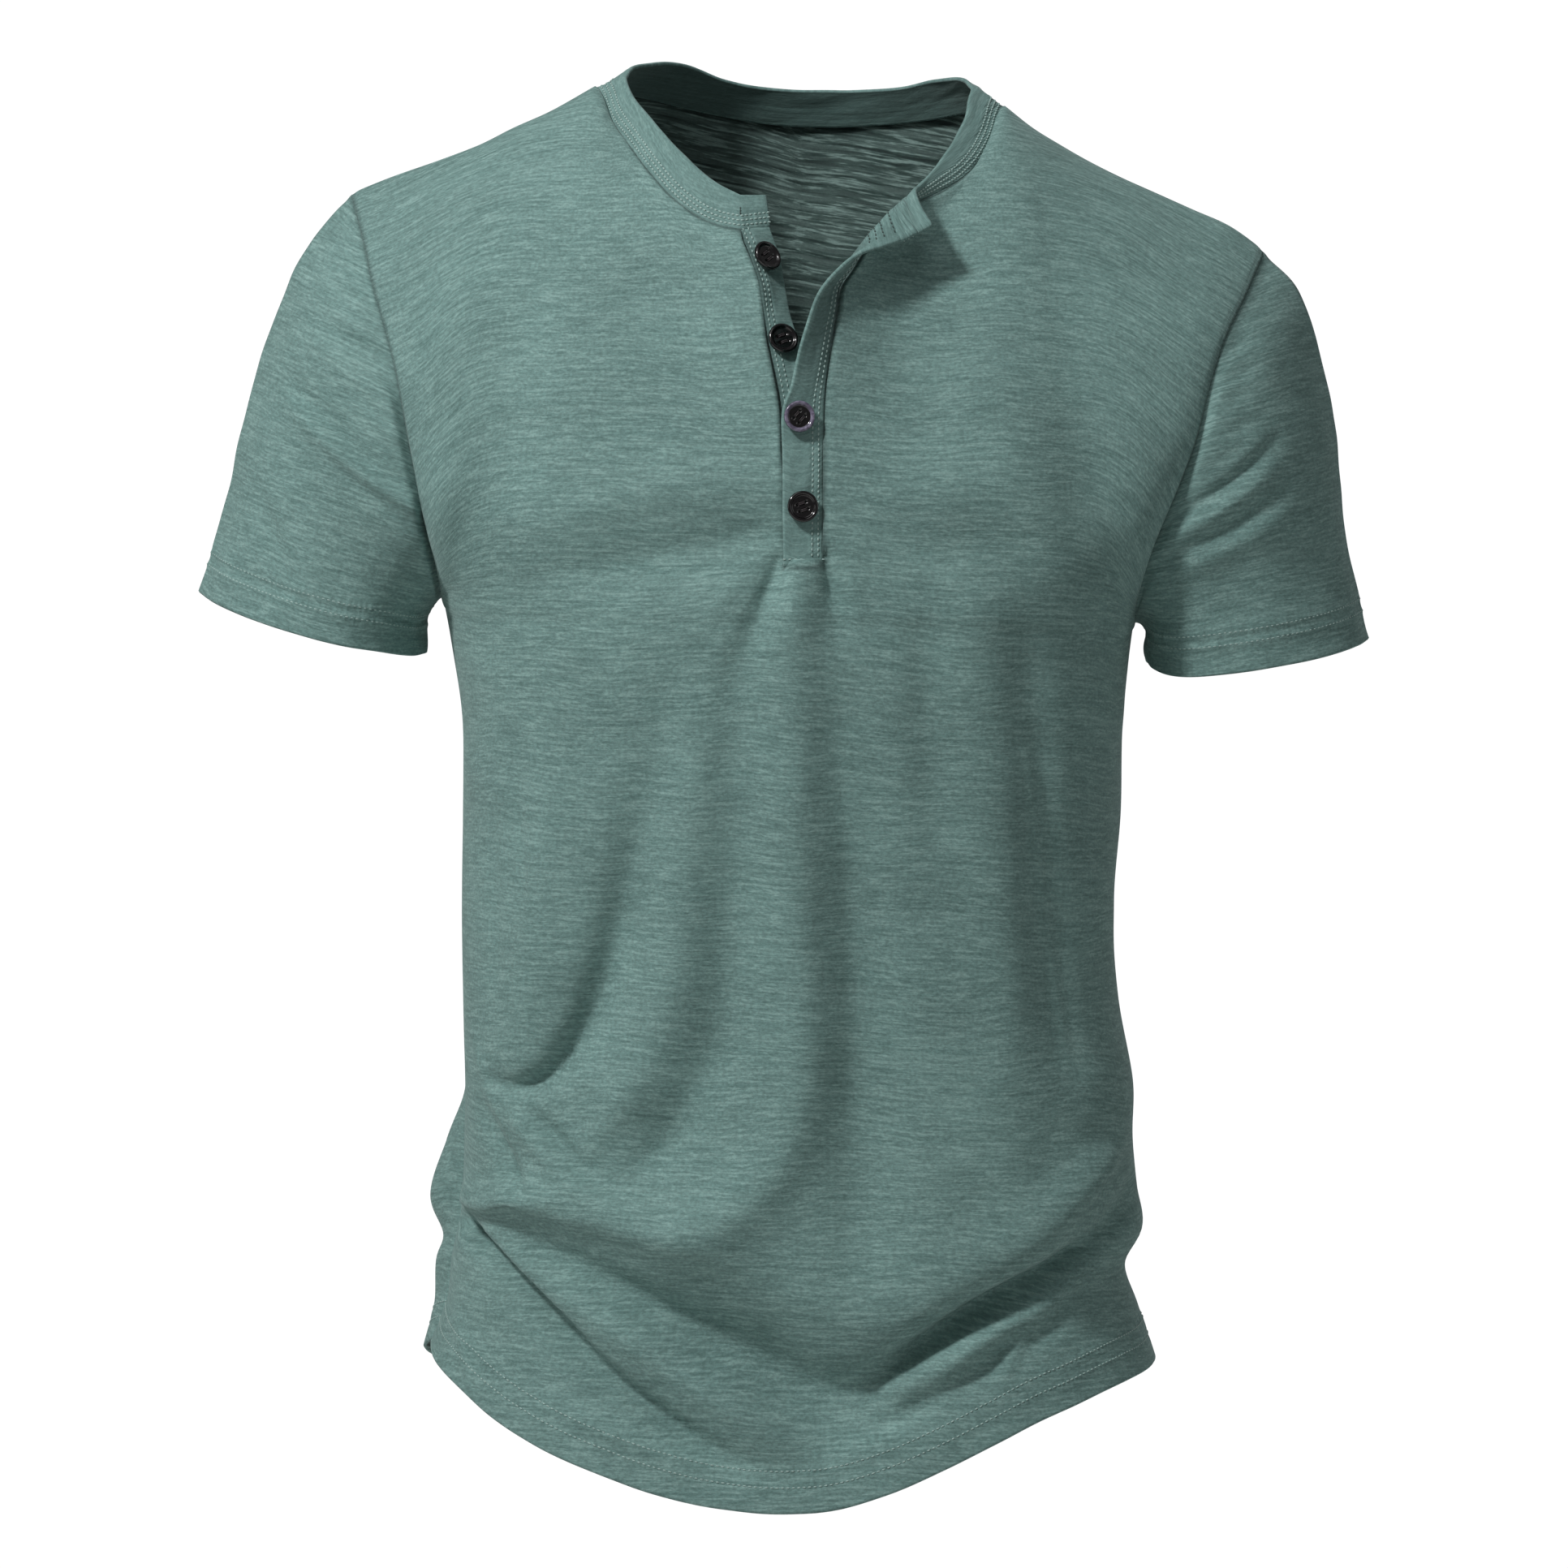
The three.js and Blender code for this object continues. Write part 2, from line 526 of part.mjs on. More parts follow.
// A closed wall: the sheet outside, the same sheet moved in by its thickness, and rims between.
// Two rims that face each other across a seam are split along the same diagonal.
function wallOf(sheet) {
  const used = [...new Set(sheet.quads.flat())].sort((a, b) => a - b);
  const orderOf = new Map(used.map((k, n) => [k, n]));
  const count = used.length;
  const positions = [];
  for (const k of used) positions.push(...sheet.outer[k]);
  for (const k of used) positions.push(...sub(sheet.outer[k], times(sheet.depthWays[k], sheet.thickness)));
  const index = [];
  const at = (k, inner) => orderOf.get(k) + (inner ? count : 0);
  for (const [a, b, c, d] of sheet.quads) {
    const p = sheet.points;
    const short = size(sub(p[a], p[c])) <= size(sub(p[b], p[d]));
    const triangles = short ? [[a, b, c], [a, c, d]] : [[a, b, d], [b, c, d]];
    for (const [x, y, z] of triangles) {
      index.push(at(x), at(y), at(z));
      index.push(at(z, 1), at(y, 1), at(x, 1));
    }
  }
  for (const [a, b] of rimEdges(sheet)) {
    if (keyOf(sheet.points[a]) < keyOf(sheet.points[b])) {
      index.push(at(b), at(a), at(b, 1), at(a), at(a, 1), at(b, 1));
    } else {
      index.push(at(b), at(a), at(a, 1), at(b), at(a, 1), at(b, 1));
    }
  }
  const geometry = new THREE.BufferGeometry();
  geometry.setAttribute('position', new THREE.Float32BufferAttribute(positions, 3));
  geometry.setIndex(index);
  geometry.computeVertexNormals();
  return geometry;
}

// A sleeve: a tube from the armhole seam to the cuff, the loop running from the top round the front
function sleeveGrid(name, out) {
  const armFront = armholes[`front${name}`];
  const armBack = armholes[`back${name}`];
  const cuffFront = curveThrough(CUFFS[`front${name}`]);
  const cuffBack = curveThrough(CUFFS[`back${name}`]);
  const station = (arm, cuff, facing) => (v) => (
    { arm: alongLength(arm, 1 - v), cuff: alongLength(cuff, 1 - v), facing, v }
  );
  const downFront = upperShares.slice(1).reverse();
  const upBack = upperShares.slice(0, -1);
  const loop = [
    ...downFront.map(station(armFront, cuffFront, -1)),
    ...upBack.map(station(armBack, cuffBack, 1)),
  ];
  return loop.map(({ arm, cuff, facing, v }) => {
    const high = ease(v);
    const round = Math.sin(Math.PI * v);
    const ways = [SLEEVE_LEAVE, SLEEVE_ARRIVE].map((way) => [
      out * blend(way.underOut, way.topOut, high),
      facing * way.round * round,
      -blend(way.underDown, way.topDown, high),
    ]);
    const column = [];
    for (let row = 0; row <= SLEEVE_ROWS; row += 1) {
      column.push(hermite(arm, ways[0], cuff, ways[1], row / SLEEVE_ROWS));
    }
    return column;
  });
}

// A placket strip as a grid, [across][down], from its seam to its free edge
const underLines = {
  seam: curveThrough(UNDER_PLACKET.map((row) => row.seam)),
  edge: curveThrough(UNDER_PLACKET.map((row) => row.edge)),
};
const overLines = {
  seam: curveThrough(OVER_PLACKET.map((row) => row.seam)),
  middle: curveThrough(OVER_PLACKET.map((row) => row.middle)),
  edge: curveThrough(OVER_PLACKET.map((row) => row.edge)),
};
function underPoint(across, down) {
  const t = underLines.seam.getUtoTmapping(clamp(down, 0, 1));
  return mix(alongTable(underLines.seam, t), alongTable(underLines.edge, t), across);
}
function overPoint(across, down) {
  const t = overLines.seam.getUtoTmapping(clamp(down, 0, 1));
  const lines = [overLines.seam, overLines.middle, overLines.edge];
  const section = curveThrough(lines.map((line) => alongTable(line, t)));
  return alongLength(section, across);
}
function placketGrid(pointAt) {
  const grid = [];
  for (let i = 0; i <= PLACKET_COLUMNS; i += 1) {
    const column = [];
    for (let j = 0; j <= UPPER_ROWS; j += 1) {
      column.push(pointAt(i / PLACKET_COLUMNS, j / UPPER_ROWS));
    }
    grid.push(column);
  }
  return grid;
}

// A round button with a raised rim, a dished middle and four holes, facing +Z
function buttonGeometry() {
  const radius = BUTTON_DIAMETER / 2;
  const dish = radius - BUTTON_RIM_WIDTH;
  const segments = BUTTON_SEGMENTS;
  const profile = [
    [dish, BUTTON_THICKNESS - BUTTON_DISH_DEPTH],
    [dish + BUTTON_RIM_WIDTH * 0.3, BUTTON_THICKNESS - 0.1],
    [radius - BUTTON_RIM_WIDTH * 0.35, BUTTON_THICKNESS],
    [radius, BUTTON_THICKNESS * 0.62],
    [radius - 0.9, 0.2],
    [dish, 0],
  ];
  const positions = [];
  const index = [];
  for (const [r, z] of profile) {
    for (let k = 0; k < segments; k += 1) {
      const turn = (2 * Math.PI * k) / segments;
      positions.push(r * Math.cos(turn), r * Math.sin(turn), z);
    }
  }
  for (let ring = 0; ring < profile.length - 1; ring += 1) {
    for (let k = 0; k < segments; k += 1) {
      const a = ring * segments + k;
      const b = ring * segments + ((k + 1) % segments);
      index.push(a, a + segments, b, b, a + segments, b + segments);
    }
  }
  const outline = [];
  for (let k = 0; k < segments; k += 1) {
    const turn = (2 * Math.PI * k) / segments;
    outline.push(new THREE.Vector2(dish * Math.cos(turn), dish * Math.sin(turn)));
  }
  const holes = [];
  for (const [hx, hy] of [[1, 1], [-1, 1], [-1, -1], [1, -1]]) {
    const hole = [];
    for (let k = 0; k < BUTTON_HOLE_SEGMENTS; k += 1) {
      const turn = (-2 * Math.PI * k) / BUTTON_HOLE_SEGMENTS;
      hole.push(new THREE.Vector2(
        (hx * BUTTON_HOLE_SPACING) / 2 + (BUTTON_HOLE_DIAMETER / 2) * Math.cos(turn),
        (hy * BUTTON_HOLE_SPACING) / 2 + (BUTTON_HOLE_DIAMETER / 2) * Math.sin(turn),
      ));
    }
    holes.push(hole);
  }
  const flat = [...outline, ...holes.flat()];
  const faces = THREE.ShapeUtils.triangulateShape(outline, holes);
  const frontAt = [];
  const backAt = [];
  flat.forEach((p, k) => {
    if (k < segments) {
      frontAt.push(k);
      backAt.push((profile.length - 1) * segments + k);
      return;
    }
    frontAt.push(positions.length / 3);
    positions.push(p.x, p.y, BUTTON_THICKNESS - BUTTON_DISH_DEPTH);
    backAt.push(positions.length / 3);
    positions.push(p.x, p.y, 0);
  });
  for (const [a, b, c] of faces) {
    index.push(frontAt[a], frontAt[b], frontAt[c]);
    index.push(backAt[c], backAt[b], backAt[a]);
  }
  let first = segments;
  for (const hole of holes) {
    for (let k = 0; k < hole.length; k += 1) {
      const a = first + k;
      const b = first + ((k + 1) % hole.length);
      index.push(frontAt[b], frontAt[a], backAt[a], frontAt[b], backAt[a], backAt[b]);
    }
    first += hole.length;
  }
  const geometry = new THREE.BufferGeometry();
  geometry.setAttribute('position', new THREE.Float32BufferAttribute(positions, 3));
  geometry.setIndex(index);
  geometry.computeVertexNormals();
  return geometry;
}

// The panels; the front is left open between its slot seams
const frontGrid = panelGrid('front');
const backGrid = panelGrid('back');
const slotColumn = columns.length / 2 - 1;
const front = sheetOf(frontGrid, { skip: (i, j) => i === slotColumn && j >= slotRow });
const back = sheetOf(backGrid);

// The sleeves
const sleeveRight = sheetOf(sleeveGrid('Right', -1), { looped: true, flipped: true });
const sleeveLeft = sheetOf(sleeveGrid('Left', 1), { looped: true });

// The plackets
const underGrid = placketGrid(underPoint);
const overGrid = placketGrid(overPoint);
const under = sheetOf(underGrid, { flipped: true, thickness: PLACKET_WALL });
const over = sheetOf(overGrid, { thickness: PLACKET_WALL });

// The neckband: its seam line is the top of the panels and plackets, in order round the neck
const top = frontGrid[0].length - 1;
const neckFirst = SIDE_COLUMNS;
const topEdge = (grid, from, to) => grid.slice(from, to).map((column) => column[top]).reverse();
const seamParts = {
  rightEnd: underGrid.map((column) => column[0]).reverse(),
  frontRight: topEdge(frontGrid, neckFirst, slotColumn + 1),
  back: topEdge(backGrid, neckFirst, backGrid.length - neckFirst),
  frontLeft: topEdge(frontGrid, slotColumn + 1, frontGrid.length - neckFirst),
  leftEnd: overGrid.map((column) => column[0]),
};
const bandGrid = [];
for (const [name, seam] of Object.entries(seamParts)) {
  const edge = curveThrough(BAND_EDGE[name]);
  seam.forEach((point, k) => {
    if (bandGrid.length && k === 0) return;
    const free = alongLength(edge, k / (seam.length - 1));
    const column = [];
    for (let row = 0; row <= BAND_ROWS; row += 1) {
      column.push(mix(point, free, row / BAND_ROWS));
    }
    bandGrid.push(column);
  });
}
const band = sheetOf(bandGrid, { flipped: true, thickness: BAND_WALL });

// Put every piece in the shirt
const group = new THREE.Group();
group.name = 'henley_shirt';
function place(name, geometry, material) {
  const mesh = new THREE.Mesh(geometry, material);
  mesh.name = name;
  group.add(mesh);
  return mesh;
}
const pieces = [
  ['front_panel', front, CLOTH],
  ['back_panel', back, CLOTH],
  ['sleeve_right', sleeveRight, CLOTH],
  ['sleeve_left', sleeveLeft, CLOTH],
  ['neckband', band, BAND_CLOTH],
  ['placket_under', under, BAND_CLOTH],
  ['placket_over', over, BAND_CLOTH],
];
settleSeams(pieces.map(([, sheet]) => sheet));
for (const [name, sheet, material] of pieces) place(name, wallOf(sheet), material);

// Buttons lie on their strips, square to the cloth
for (const { name, strip, down, across } of BUTTONS) {
  const pointAt = strip === 'under' ? underPoint : overPoint;
  const centre = pointAt(across, down);
  const overWay = sub(pointAt(across + 0.1, down), pointAt(across - 0.1, down));
  const downWay = sub(pointAt(across, down + 0.02), pointAt(across, down - 0.02));
  const normal = unit(strip === 'under' ? cross(downWay, overWay) : cross(overWay, downWay));
  const button = place(name, buttonGeometry(), BUTTON_MATERIAL);
  button.quaternion.setFromUnitVectors(new THREE.Vector3(0, 0, 1), new THREE.Vector3(...normal));
  button.position.set(...add(centre, times(normal, BUTTON_STAND_OFF)));
}

export default group;
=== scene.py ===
import math

import bpy
import numpy as np
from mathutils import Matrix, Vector
from mathutils.geometry import tessellate_polygon


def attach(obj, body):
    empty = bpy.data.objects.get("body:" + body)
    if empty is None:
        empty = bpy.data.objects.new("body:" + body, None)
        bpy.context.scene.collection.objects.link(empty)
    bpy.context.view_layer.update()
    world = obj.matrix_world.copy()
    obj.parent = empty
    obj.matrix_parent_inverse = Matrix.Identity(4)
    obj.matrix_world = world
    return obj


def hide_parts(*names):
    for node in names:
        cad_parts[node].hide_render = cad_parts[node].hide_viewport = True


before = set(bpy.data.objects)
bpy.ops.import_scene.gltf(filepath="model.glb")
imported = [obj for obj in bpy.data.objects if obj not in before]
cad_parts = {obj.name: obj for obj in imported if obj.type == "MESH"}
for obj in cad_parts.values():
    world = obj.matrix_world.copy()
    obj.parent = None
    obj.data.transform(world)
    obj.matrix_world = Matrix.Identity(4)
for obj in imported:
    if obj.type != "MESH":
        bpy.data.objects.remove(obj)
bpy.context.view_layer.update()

scene = bpy.context.scene
scene.view_settings.view_transform = "Standard"

# The camera stands square in front of the shirt, a little above its middle, with a long lens.
# Sizes here are millimetres, as on the pattern, and MM turns them into Blender's metres.
MM = 0.001
CAMERA_DISTANCE = 3200
CAMERA_RISE = math.radians(2)
CAMERA_AIM = (-9.6, 0, -335.6)
FRAME_WIDTH = 772.8
SENSOR_WIDTH = 36
FARTHEST_SEEN = 60


def add_object(name, data):
    """A new object, put into the scene."""
    made = bpy.data.objects.new(name, data)
    scene.collection.objects.link(made)
    return made


camera_data = bpy.data.cameras.new("camera")
camera_data.sensor_width = SENSOR_WIDTH
camera_data.lens = SENSOR_WIDTH * CAMERA_DISTANCE / FRAME_WIDTH
camera_data.clip_end = FARTHEST_SEEN
camera = add_object("camera", camera_data)
camera.location = (
    CAMERA_AIM[0] * MM,
    -CAMERA_DISTANCE * math.cos(CAMERA_RISE) * MM,
    (CAMERA_AIM[2] + CAMERA_DISTANCE * math.sin(CAMERA_RISE)) * MM,
)
camera.rotation_euler = (math.pi / 2 - CAMERA_RISE, 0, 0)
scene.camera = camera


# The front panel is one piece of slub jersey, cut with a slit down the chest for the placket.
# It hangs from the shoulder seams over a full chest, and its folds run down to a low curved hem,
# which is turned up inside and held with two rows of stitches.
JERSEY_WALL = 0.9
HEM_WALL = 1.7
HEM_DEPTH = 24
HEM_ROWS = (12, 20)
FRONT_SEED, BACK_SEED = 11, 23
# Where the back is cut from the cloth, so that its slub isn't the front's
BACK_CLOTH_AT = 900

# A panel is a grid: u runs from the right seam (-1) to the left (+1), v from the underarm (0) to
# the top (1).
# The neckline takes this much of u each side of the middle, and the slit this much
NECK_SHARE = 0.5
SLOT_HALF = 0.033
# The slit starts this far up v, and this many rows of the grid lie below it
SLOT_START = 0.065
SLOT_ROWS = 9
# Height of the placket's lower end, where the cloth under it is in shade
PLACKET_END = -229.4
# Rows are close together from the hem up to this height, for the folds there
FINE_ROWS_TO = -462
# Below 1, it makes the body's level sections fuller than ellipses
RING_POWER = 0.8
# Folds fade out over this much below the shoulder seams and the neckline
FOLD_FADE = 30
# A distance from an edge that is too far for its shade
FAR = 99

# Level sections from the underarm to the hem: heights at the two side seams, half widths,
# depths in front and behind, how far the back stands out past the right seam, share of the hem's curve
BODY_SECTIONS = np.array([
    (-243, -256, 176, 161, 123, 106, 0, 0),
    (-268, -276, 171.5, 158.5, 122, 104, 0, 0),
    (-304, -307, 166.5, 155.5, 119, 101, 0, 0),
    (-350, -350, 166.5, 155, 115, 97, 0, 0.02),
    (-398, -398, 167, 151, 111, 95, 0, 0.08),
    (-440, -440, 166.5, 154, 108, 95, 0, 0.18),
    (-480, -480, 165.5, 161, 108, 98, 1, 0.3),
    (-508, -508, 166, 161, 110, 101, 11, 0.42),
    (-536, -533, 167, 163.5, 112, 104, 20, 0.55),
    (-556, -552, 170, 166, 110, 103, 10, 0.66),
    (-568, -571, 172.5, 157.5, 109, 102, 11, 0.76),
    (-590, -592, 175, 164, 111, 103, 10, 0.89),
    (-610, -617, 182.5, 172, 114, 104, 7, 1),
], float)

# How far the hem falls below the side seams, at even steps from the right seam to the left
HEM_FRONT = [0, 5, 9, 15, 24, 33, 42, 50, 58, 64, 66, 57, 45, 33, 23, 16, 10, 6, 3.5, 1.5, 0]
HEM_BACK = [0, 7, 13, 18, 25, 32, 38, 45, 51, 56, 58, 52, 42, 31, 22, 15, 10, 6, 3, 1, 0]


def ease(t):
    """A smooth step from 0 to 1."""
    t = np.clip(t, 0, 1)
    return t * t * (3 - 2 * t)


def bell(distance, width):
    """1 where the distance is none, falling off smoothly over a width."""
    return np.exp(-((distance / width) ** 2))


def hermite(start, leave, end, arrive, t):
    """A cubic curve from start to end, by the ways in which it leaves and arrives."""
    return (
        start + leave * t + (3 * (end - start) - 2 * leave - arrive) * t**2
        + (2 * (start - end) + leave + arrive) * t**3
    )


class Line:
    """A smooth line through points, read by its share of table steps or of length."""

    def __init__(self, points):
        p = np.array(points, float)
        self.points = np.vstack([2 * p[0] - p[1], p, 2 * p[-1] - p[-2]])
        self.steps = np.linspace(0, 1, 601)
        walked = self.at_step(self.steps)
        walk = np.r_[0, np.cumsum(np.linalg.norm(np.diff(walked, axis=0), axis=1))]
        self.shares = walk / walk[-1]

    def at_step(self, step):
        step = np.clip(np.asarray(step, float), 0, 1)
        spans = len(self.points) - 3
        k = np.minimum((step * spans).astype(int), spans - 1)
        w = (step * spans - k)[..., None]
        a, b, c, d = (self.points[k + j] for j in range(4))
        ab, bc, cd = (
            np.sqrt(np.maximum(np.linalg.norm(q - p, axis=-1), 1e-6))[..., None]
            for p, q in ((a, b), (b, c), (c, d))
        )
        leave = ((b - a) / ab - (c - a) / (ab + bc) + (c - b) / bc) * bc
        arrive = ((c - b) / bc - (d - b) / (bc + cd) + (d - c) / cd) * bc
        return hermite(b, leave, c, arrive, w)

    def step_of(self, share):
        return np.interp(np.clip(share, 0, 1), self.shares, self.steps)

    def at(self, share):
        return self.at_step(self.step_of(share))


def smooth_table(table, place):
    """Rows of a table read at fractional places, on a smooth curve through them."""
    table = np.asarray(table, float)
    rows = np.concatenate([[2 * table[0] - table[1]], table, [2 * table[-1] - table[-2]]])
    place = np.clip(np.asarray(place, float), 0, len(table) - 1)
    k = np.minimum(place.astype(int), len(table) - 2)
    w = place - k
    if table.ndim > 1:
        w = w[..., None]
    a, b, c, d = (rows[k + j] for j in range(4))
    return hermite(b, (c - a) / 2, c, (d - b) / 2, w)


def lower_body(side, u, row):
    """Points below the underarm: u runs from the right side seam (-1) to the left (+1),
    row down the rows of BODY_SECTIONS."""
    u, row = np.broadcast_arrays(np.asarray(u, float), np.asarray(row, float))
    s = np.moveaxis(smooth_table(BODY_SECTIONS, row), -1, 0)
    turn = u * math.pi / 2
    sine = np.sign(u) * np.abs(np.sin(turn)) ** RING_POWER
    cosine = np.maximum(np.cos(turn), 0) ** RING_POWER
    near_right = np.where(u < 0, np.maximum(0, np.sin(math.pi * np.abs(u) ** 5)), 0)
    x = np.where(u < 0, s[2], s[3]) * sine
    if side == "back":
        x = x - s[6] * near_right
    hem = HEM_FRONT if side == "front" else HEM_BACK
    drop = smooth_table(hem, (u + 1) / 2 * (len(hem) - 1))
    z = s[0] + (s[1] - s[0]) * (u + 1) / 2 - s[7] * drop
    y = -s[4] * cosine if side == "front" else s[5] * cosine
    return np.stack([x, y, z], -1)


# Seams of the shoulders, the neck and the armholes, each from the wearer's right or the top
SHOULDER_RIGHT = Line([
    (-222, 0, -46), (-202, 0, -38), (-179, 0, -30), (-158, 0, -22), (-142, 0, -14), (-124, 0, -6),
    (-101.7, 0, 6.5),
])
SHOULDER_LEFT = Line([
    (98, 0, -3), (112, 0, -14), (125, 0, -22), (139, 0, -30), (155, 0, -38), (173, 0, -46),
    (191, 0, -54), (209, 0, -62), (226, 0, -74),
])
NECK_FRONT_RIGHT = Line([
    (-101.7, 0, 6.5), (-99, -8, 0.8), (-94.7, -22, -10.4), (-85.5, -42, -23.6), (-74.9, -60, -38),
    (-63, -73, -51.6), (-51.2, -81, -60.9), (-41.4, -86.5, -65.5), (-30.5, -91, -67.6),
])
NECK_FRONT_LEFT = Line([
    (44.8, -83, -57.5), (52.3, -75, -54), (62.3, -64, -49.5), (74.3, -52, -42.6), (83.7, -40, -33.6),
    (91.3, -24, -20.8), (95.8, -8, -7.9), (98, 0, -3),
])
NECK_BACK = Line([
    (-101.7, 0, 6.5), (-97, 27, 7.5), (-80, 59, 6.5), (-50, 80, 0.5), (-14, 91, -5), (22, 91, -6),
    (55, 76, -4.5), (79, 52, -2), (94, 22, -1), (98, 0, -3),
])
ARMHOLES = {
    ("front", -1): Line([
        (-222, 0, -46), (-214, -30, -71), (-208, -48, -94), (-197, -63, -131), (-189, -68, -171),
        (-182, -62, -206), (-177, -45, -227), (-175.5, -20, -239), (-176, 0, -243),
    ]),
    ("back", -1): Line([
        (-222, 0, -46), (-214, 30, -71), (-207, 50, -94), (-196, 66, -131), (-190, 71, -171),
        (-184, 64, -206), (-179, 45, -228), (-177, 20, -239), (-176, 0, -243),
    ]),
    ("front", 1): Line([
        (226, 0, -74), (214, -30, -98), (203, -50, -119), (195, -61, -142), (188, -66, -168),
        (178, -66, -194), (168, -58, -218), (162, -42, -238), (160, -20, -250), (161, 0, -256),
    ]),
    ("back", 1): Line([
        (226, 0, -74), (215, 30, -98), (205, 50, -121), (196, 64, -148), (188, 70, -178),
        (179, 66, -206), (169, 52, -232), (163, 28, -248), (161, 0, -256),
    ]),
}
# The placket's seam on the wearer's right and on the left, down from the neck
SLIT_RIGHT = [
    (-30.5, -91, -67.6), (-24.5, -98, -81.5), (-20.8, -101, -92), (-18.5, -105, -107.2),
    (-16.5, -108, -121.2), (-13.3, -111.5, -136.7), (-10.6, -114, -152.1), (-9.3, -117, -175.2),
    (-9.2, -119.5, -202.2), (-9, -121, -227.9),
]
SLIT_LEFT = [
    (44.8, -83, -57.5), (39.7, -87, -63.2), (33.8, -91, -70.3), (27.9, -95, -78.2),
    (22.9, -98.5, -86.1), (17.4, -102.5, -94.8), (15.5, -106, -107.2), (13.1, -109.5, -123.1),
    (10.6, -112.5, -139), (9.4, -114.5, -152.9), (9.2, -117, -175.2), (9.1, -119.5, -202.2),
    (9, -121, -227.9),
]
slit_lines = {-1: Line(SLIT_RIGHT[::-1]), 1: Line(SLIT_LEFT[::-1])}


def panel_top(side, u):
    """The top edge of a panel: a shoulder seam, the neckline, the other shoulder seam."""
    u = np.asarray(u, float)
    away = np.abs(u)
    on_shoulder = (away - NECK_SHARE) / (1 - NECK_SHARE)
    top = np.where(
        (u < 0)[:, None], SHOULDER_RIGHT.at(1 - on_shoulder), SHOULDER_LEFT.at(on_shoulder)
    )
    if side == "back":
        neck = NECK_BACK.at((u + NECK_SHARE) / (2 * NECK_SHARE))
    else:
        t = (away - SLOT_HALF) / (NECK_SHARE - SLOT_HALF)
        neck = np.where((u < 0)[:, None], NECK_FRONT_RIGHT.at(1 - t), NECK_FRONT_LEFT.at(t))
    return np.where((away >= NECK_SHARE)[:, None], top, neck)


def eased_top(side, u):
    """The top edge with its corner between neck and shoulder rounded off, for the cloth below it."""
    reach = 0.16 * ease((1 - np.abs(u)) / 0.25) * ease((np.abs(u) - SLOT_HALF) / 0.25)
    steps = np.linspace(-1, 1, 17)
    shares = np.cos(steps * math.pi / 2) ** 2
    total = sum(share * panel_top(side, u + reach * step) for step, share in zip(steps, shares))
    return total / shares.sum()


def plain_upper(side, u, v):
    """Columns from the underarm (v = 0) to the top edge (v = 1), before their edges are set."""
    facing = -1 if side == "front" else 1
    shoulder = ease((np.abs(u) - 0.12) / 0.42)
    none = np.zeros_like(u)
    leave = np.stack([none, facing * (18 + 42 * shoulder), 150 + 60 * shoulder], -1)
    if side == "front":
        arrive = np.stack([none, 62 + 138 * shoulder, 150 - 95 * shoulder], -1)
    else:
        arrive = np.stack([none, -(40 + 190 * shoulder), 150 - 90 * shoulder], -1)
    start, top = lower_body(side, u, 0), eased_top(side, u)
    ends = [a[:, None, :] for a in (start, leave, top, arrive)]
    points = hermite(ends[0], ends[1], ends[2], ends[3], v[:, None])
    near_top = ease((v - 0.7) / 0.3) ** 2
    return points + (panel_top(side, u) - top)[:, None] * near_top[None, :, None]


def upper_body(side, u, v):
    """The body above the underarm, its edges pulled to the armholes and the placket's slit."""
    points = plain_upper(side, u, v)
    away = np.abs(u)
    pull = (ease((away - 0.3) / 0.7) ** 2)[:, None, None]
    right, left = (
        ARMHOLES[side, sign].at(1 - v) - plain_upper(side, np.array([float(sign)]), v)[0]
        for sign in (-1, 1)
    )
    points = points + pull * np.where((u < 0)[:, None, None], right[None], left[None])
    if side == "back":
        return points
    low = np.maximum(v, SLOT_START)
    share = (low - SLOT_START) / (1 - SLOT_START)
    right, left = (
        slit_lines[sign].at(share) - plain_upper(side, np.array([sign * SLOT_HALF]), low)[0]
        for sign in (-1, 1)
    )
    near = 1 - ease((away - SLOT_HALF) / (NECK_SHARE - SLOT_HALF))
    mix = np.clip((u / SLOT_HALF + 1) / 2, 0, 1)[:, None, None]
    growth = np.where(v < 1, np.minimum(1, v / SLOT_START), 0)[None, :, None]
    at_top = ((away <= SLOT_HALF + 1e-6)[:, None] & (v >= 1)[None, :])[..., None]
    moved = (1 - mix) * right[None] + mix * left[None]
    return points + moved * np.where(at_top, 1, near[:, None, None] * growth)


def spread(start, end, count, close=(0.004, 0.009, 0.016)):
    """Even steps from start to end, with a few closer ones at both ends for the seams."""
    steps = np.r_[np.linspace(0, 1, count), close, 1 - np.array(close)]
    return start + (end - start) * np.unique(np.round(steps, 6))


panel_u = np.unique(np.round(np.r_[
    spread(-1, -SLOT_HALF, 98), np.linspace(-SLOT_HALF, SLOT_HALF, 9), spread(SLOT_HALF, 1, 98)
], 6))
hem_steps = np.r_[0, 0.6, 1.4, 3, 5.5, 8.5, 10.6, 12, 13.4, 16, 18.6, 20, 21.4, 24]
section_steps = np.linspace(0, len(BODY_SECTIONS) - 1, 400)
side_heights = smooth_table(BODY_SECTIONS[:, 0], section_steps)
heights = np.r_[
    side_heights[-1] + hem_steps, np.arange(side_heights[-1] + 26, FINE_ROWS_TO, 1.95),
    np.linspace(FINE_ROWS_TO, side_heights[0], 54),
]
lower_rows = np.interp(-heights, -side_heights, section_steps)[:-1]
upper_rows = np.r_[np.linspace(0, SLOT_START, SLOT_ROWS + 1)[:-1], spread(SLOT_START, 1, 58)]


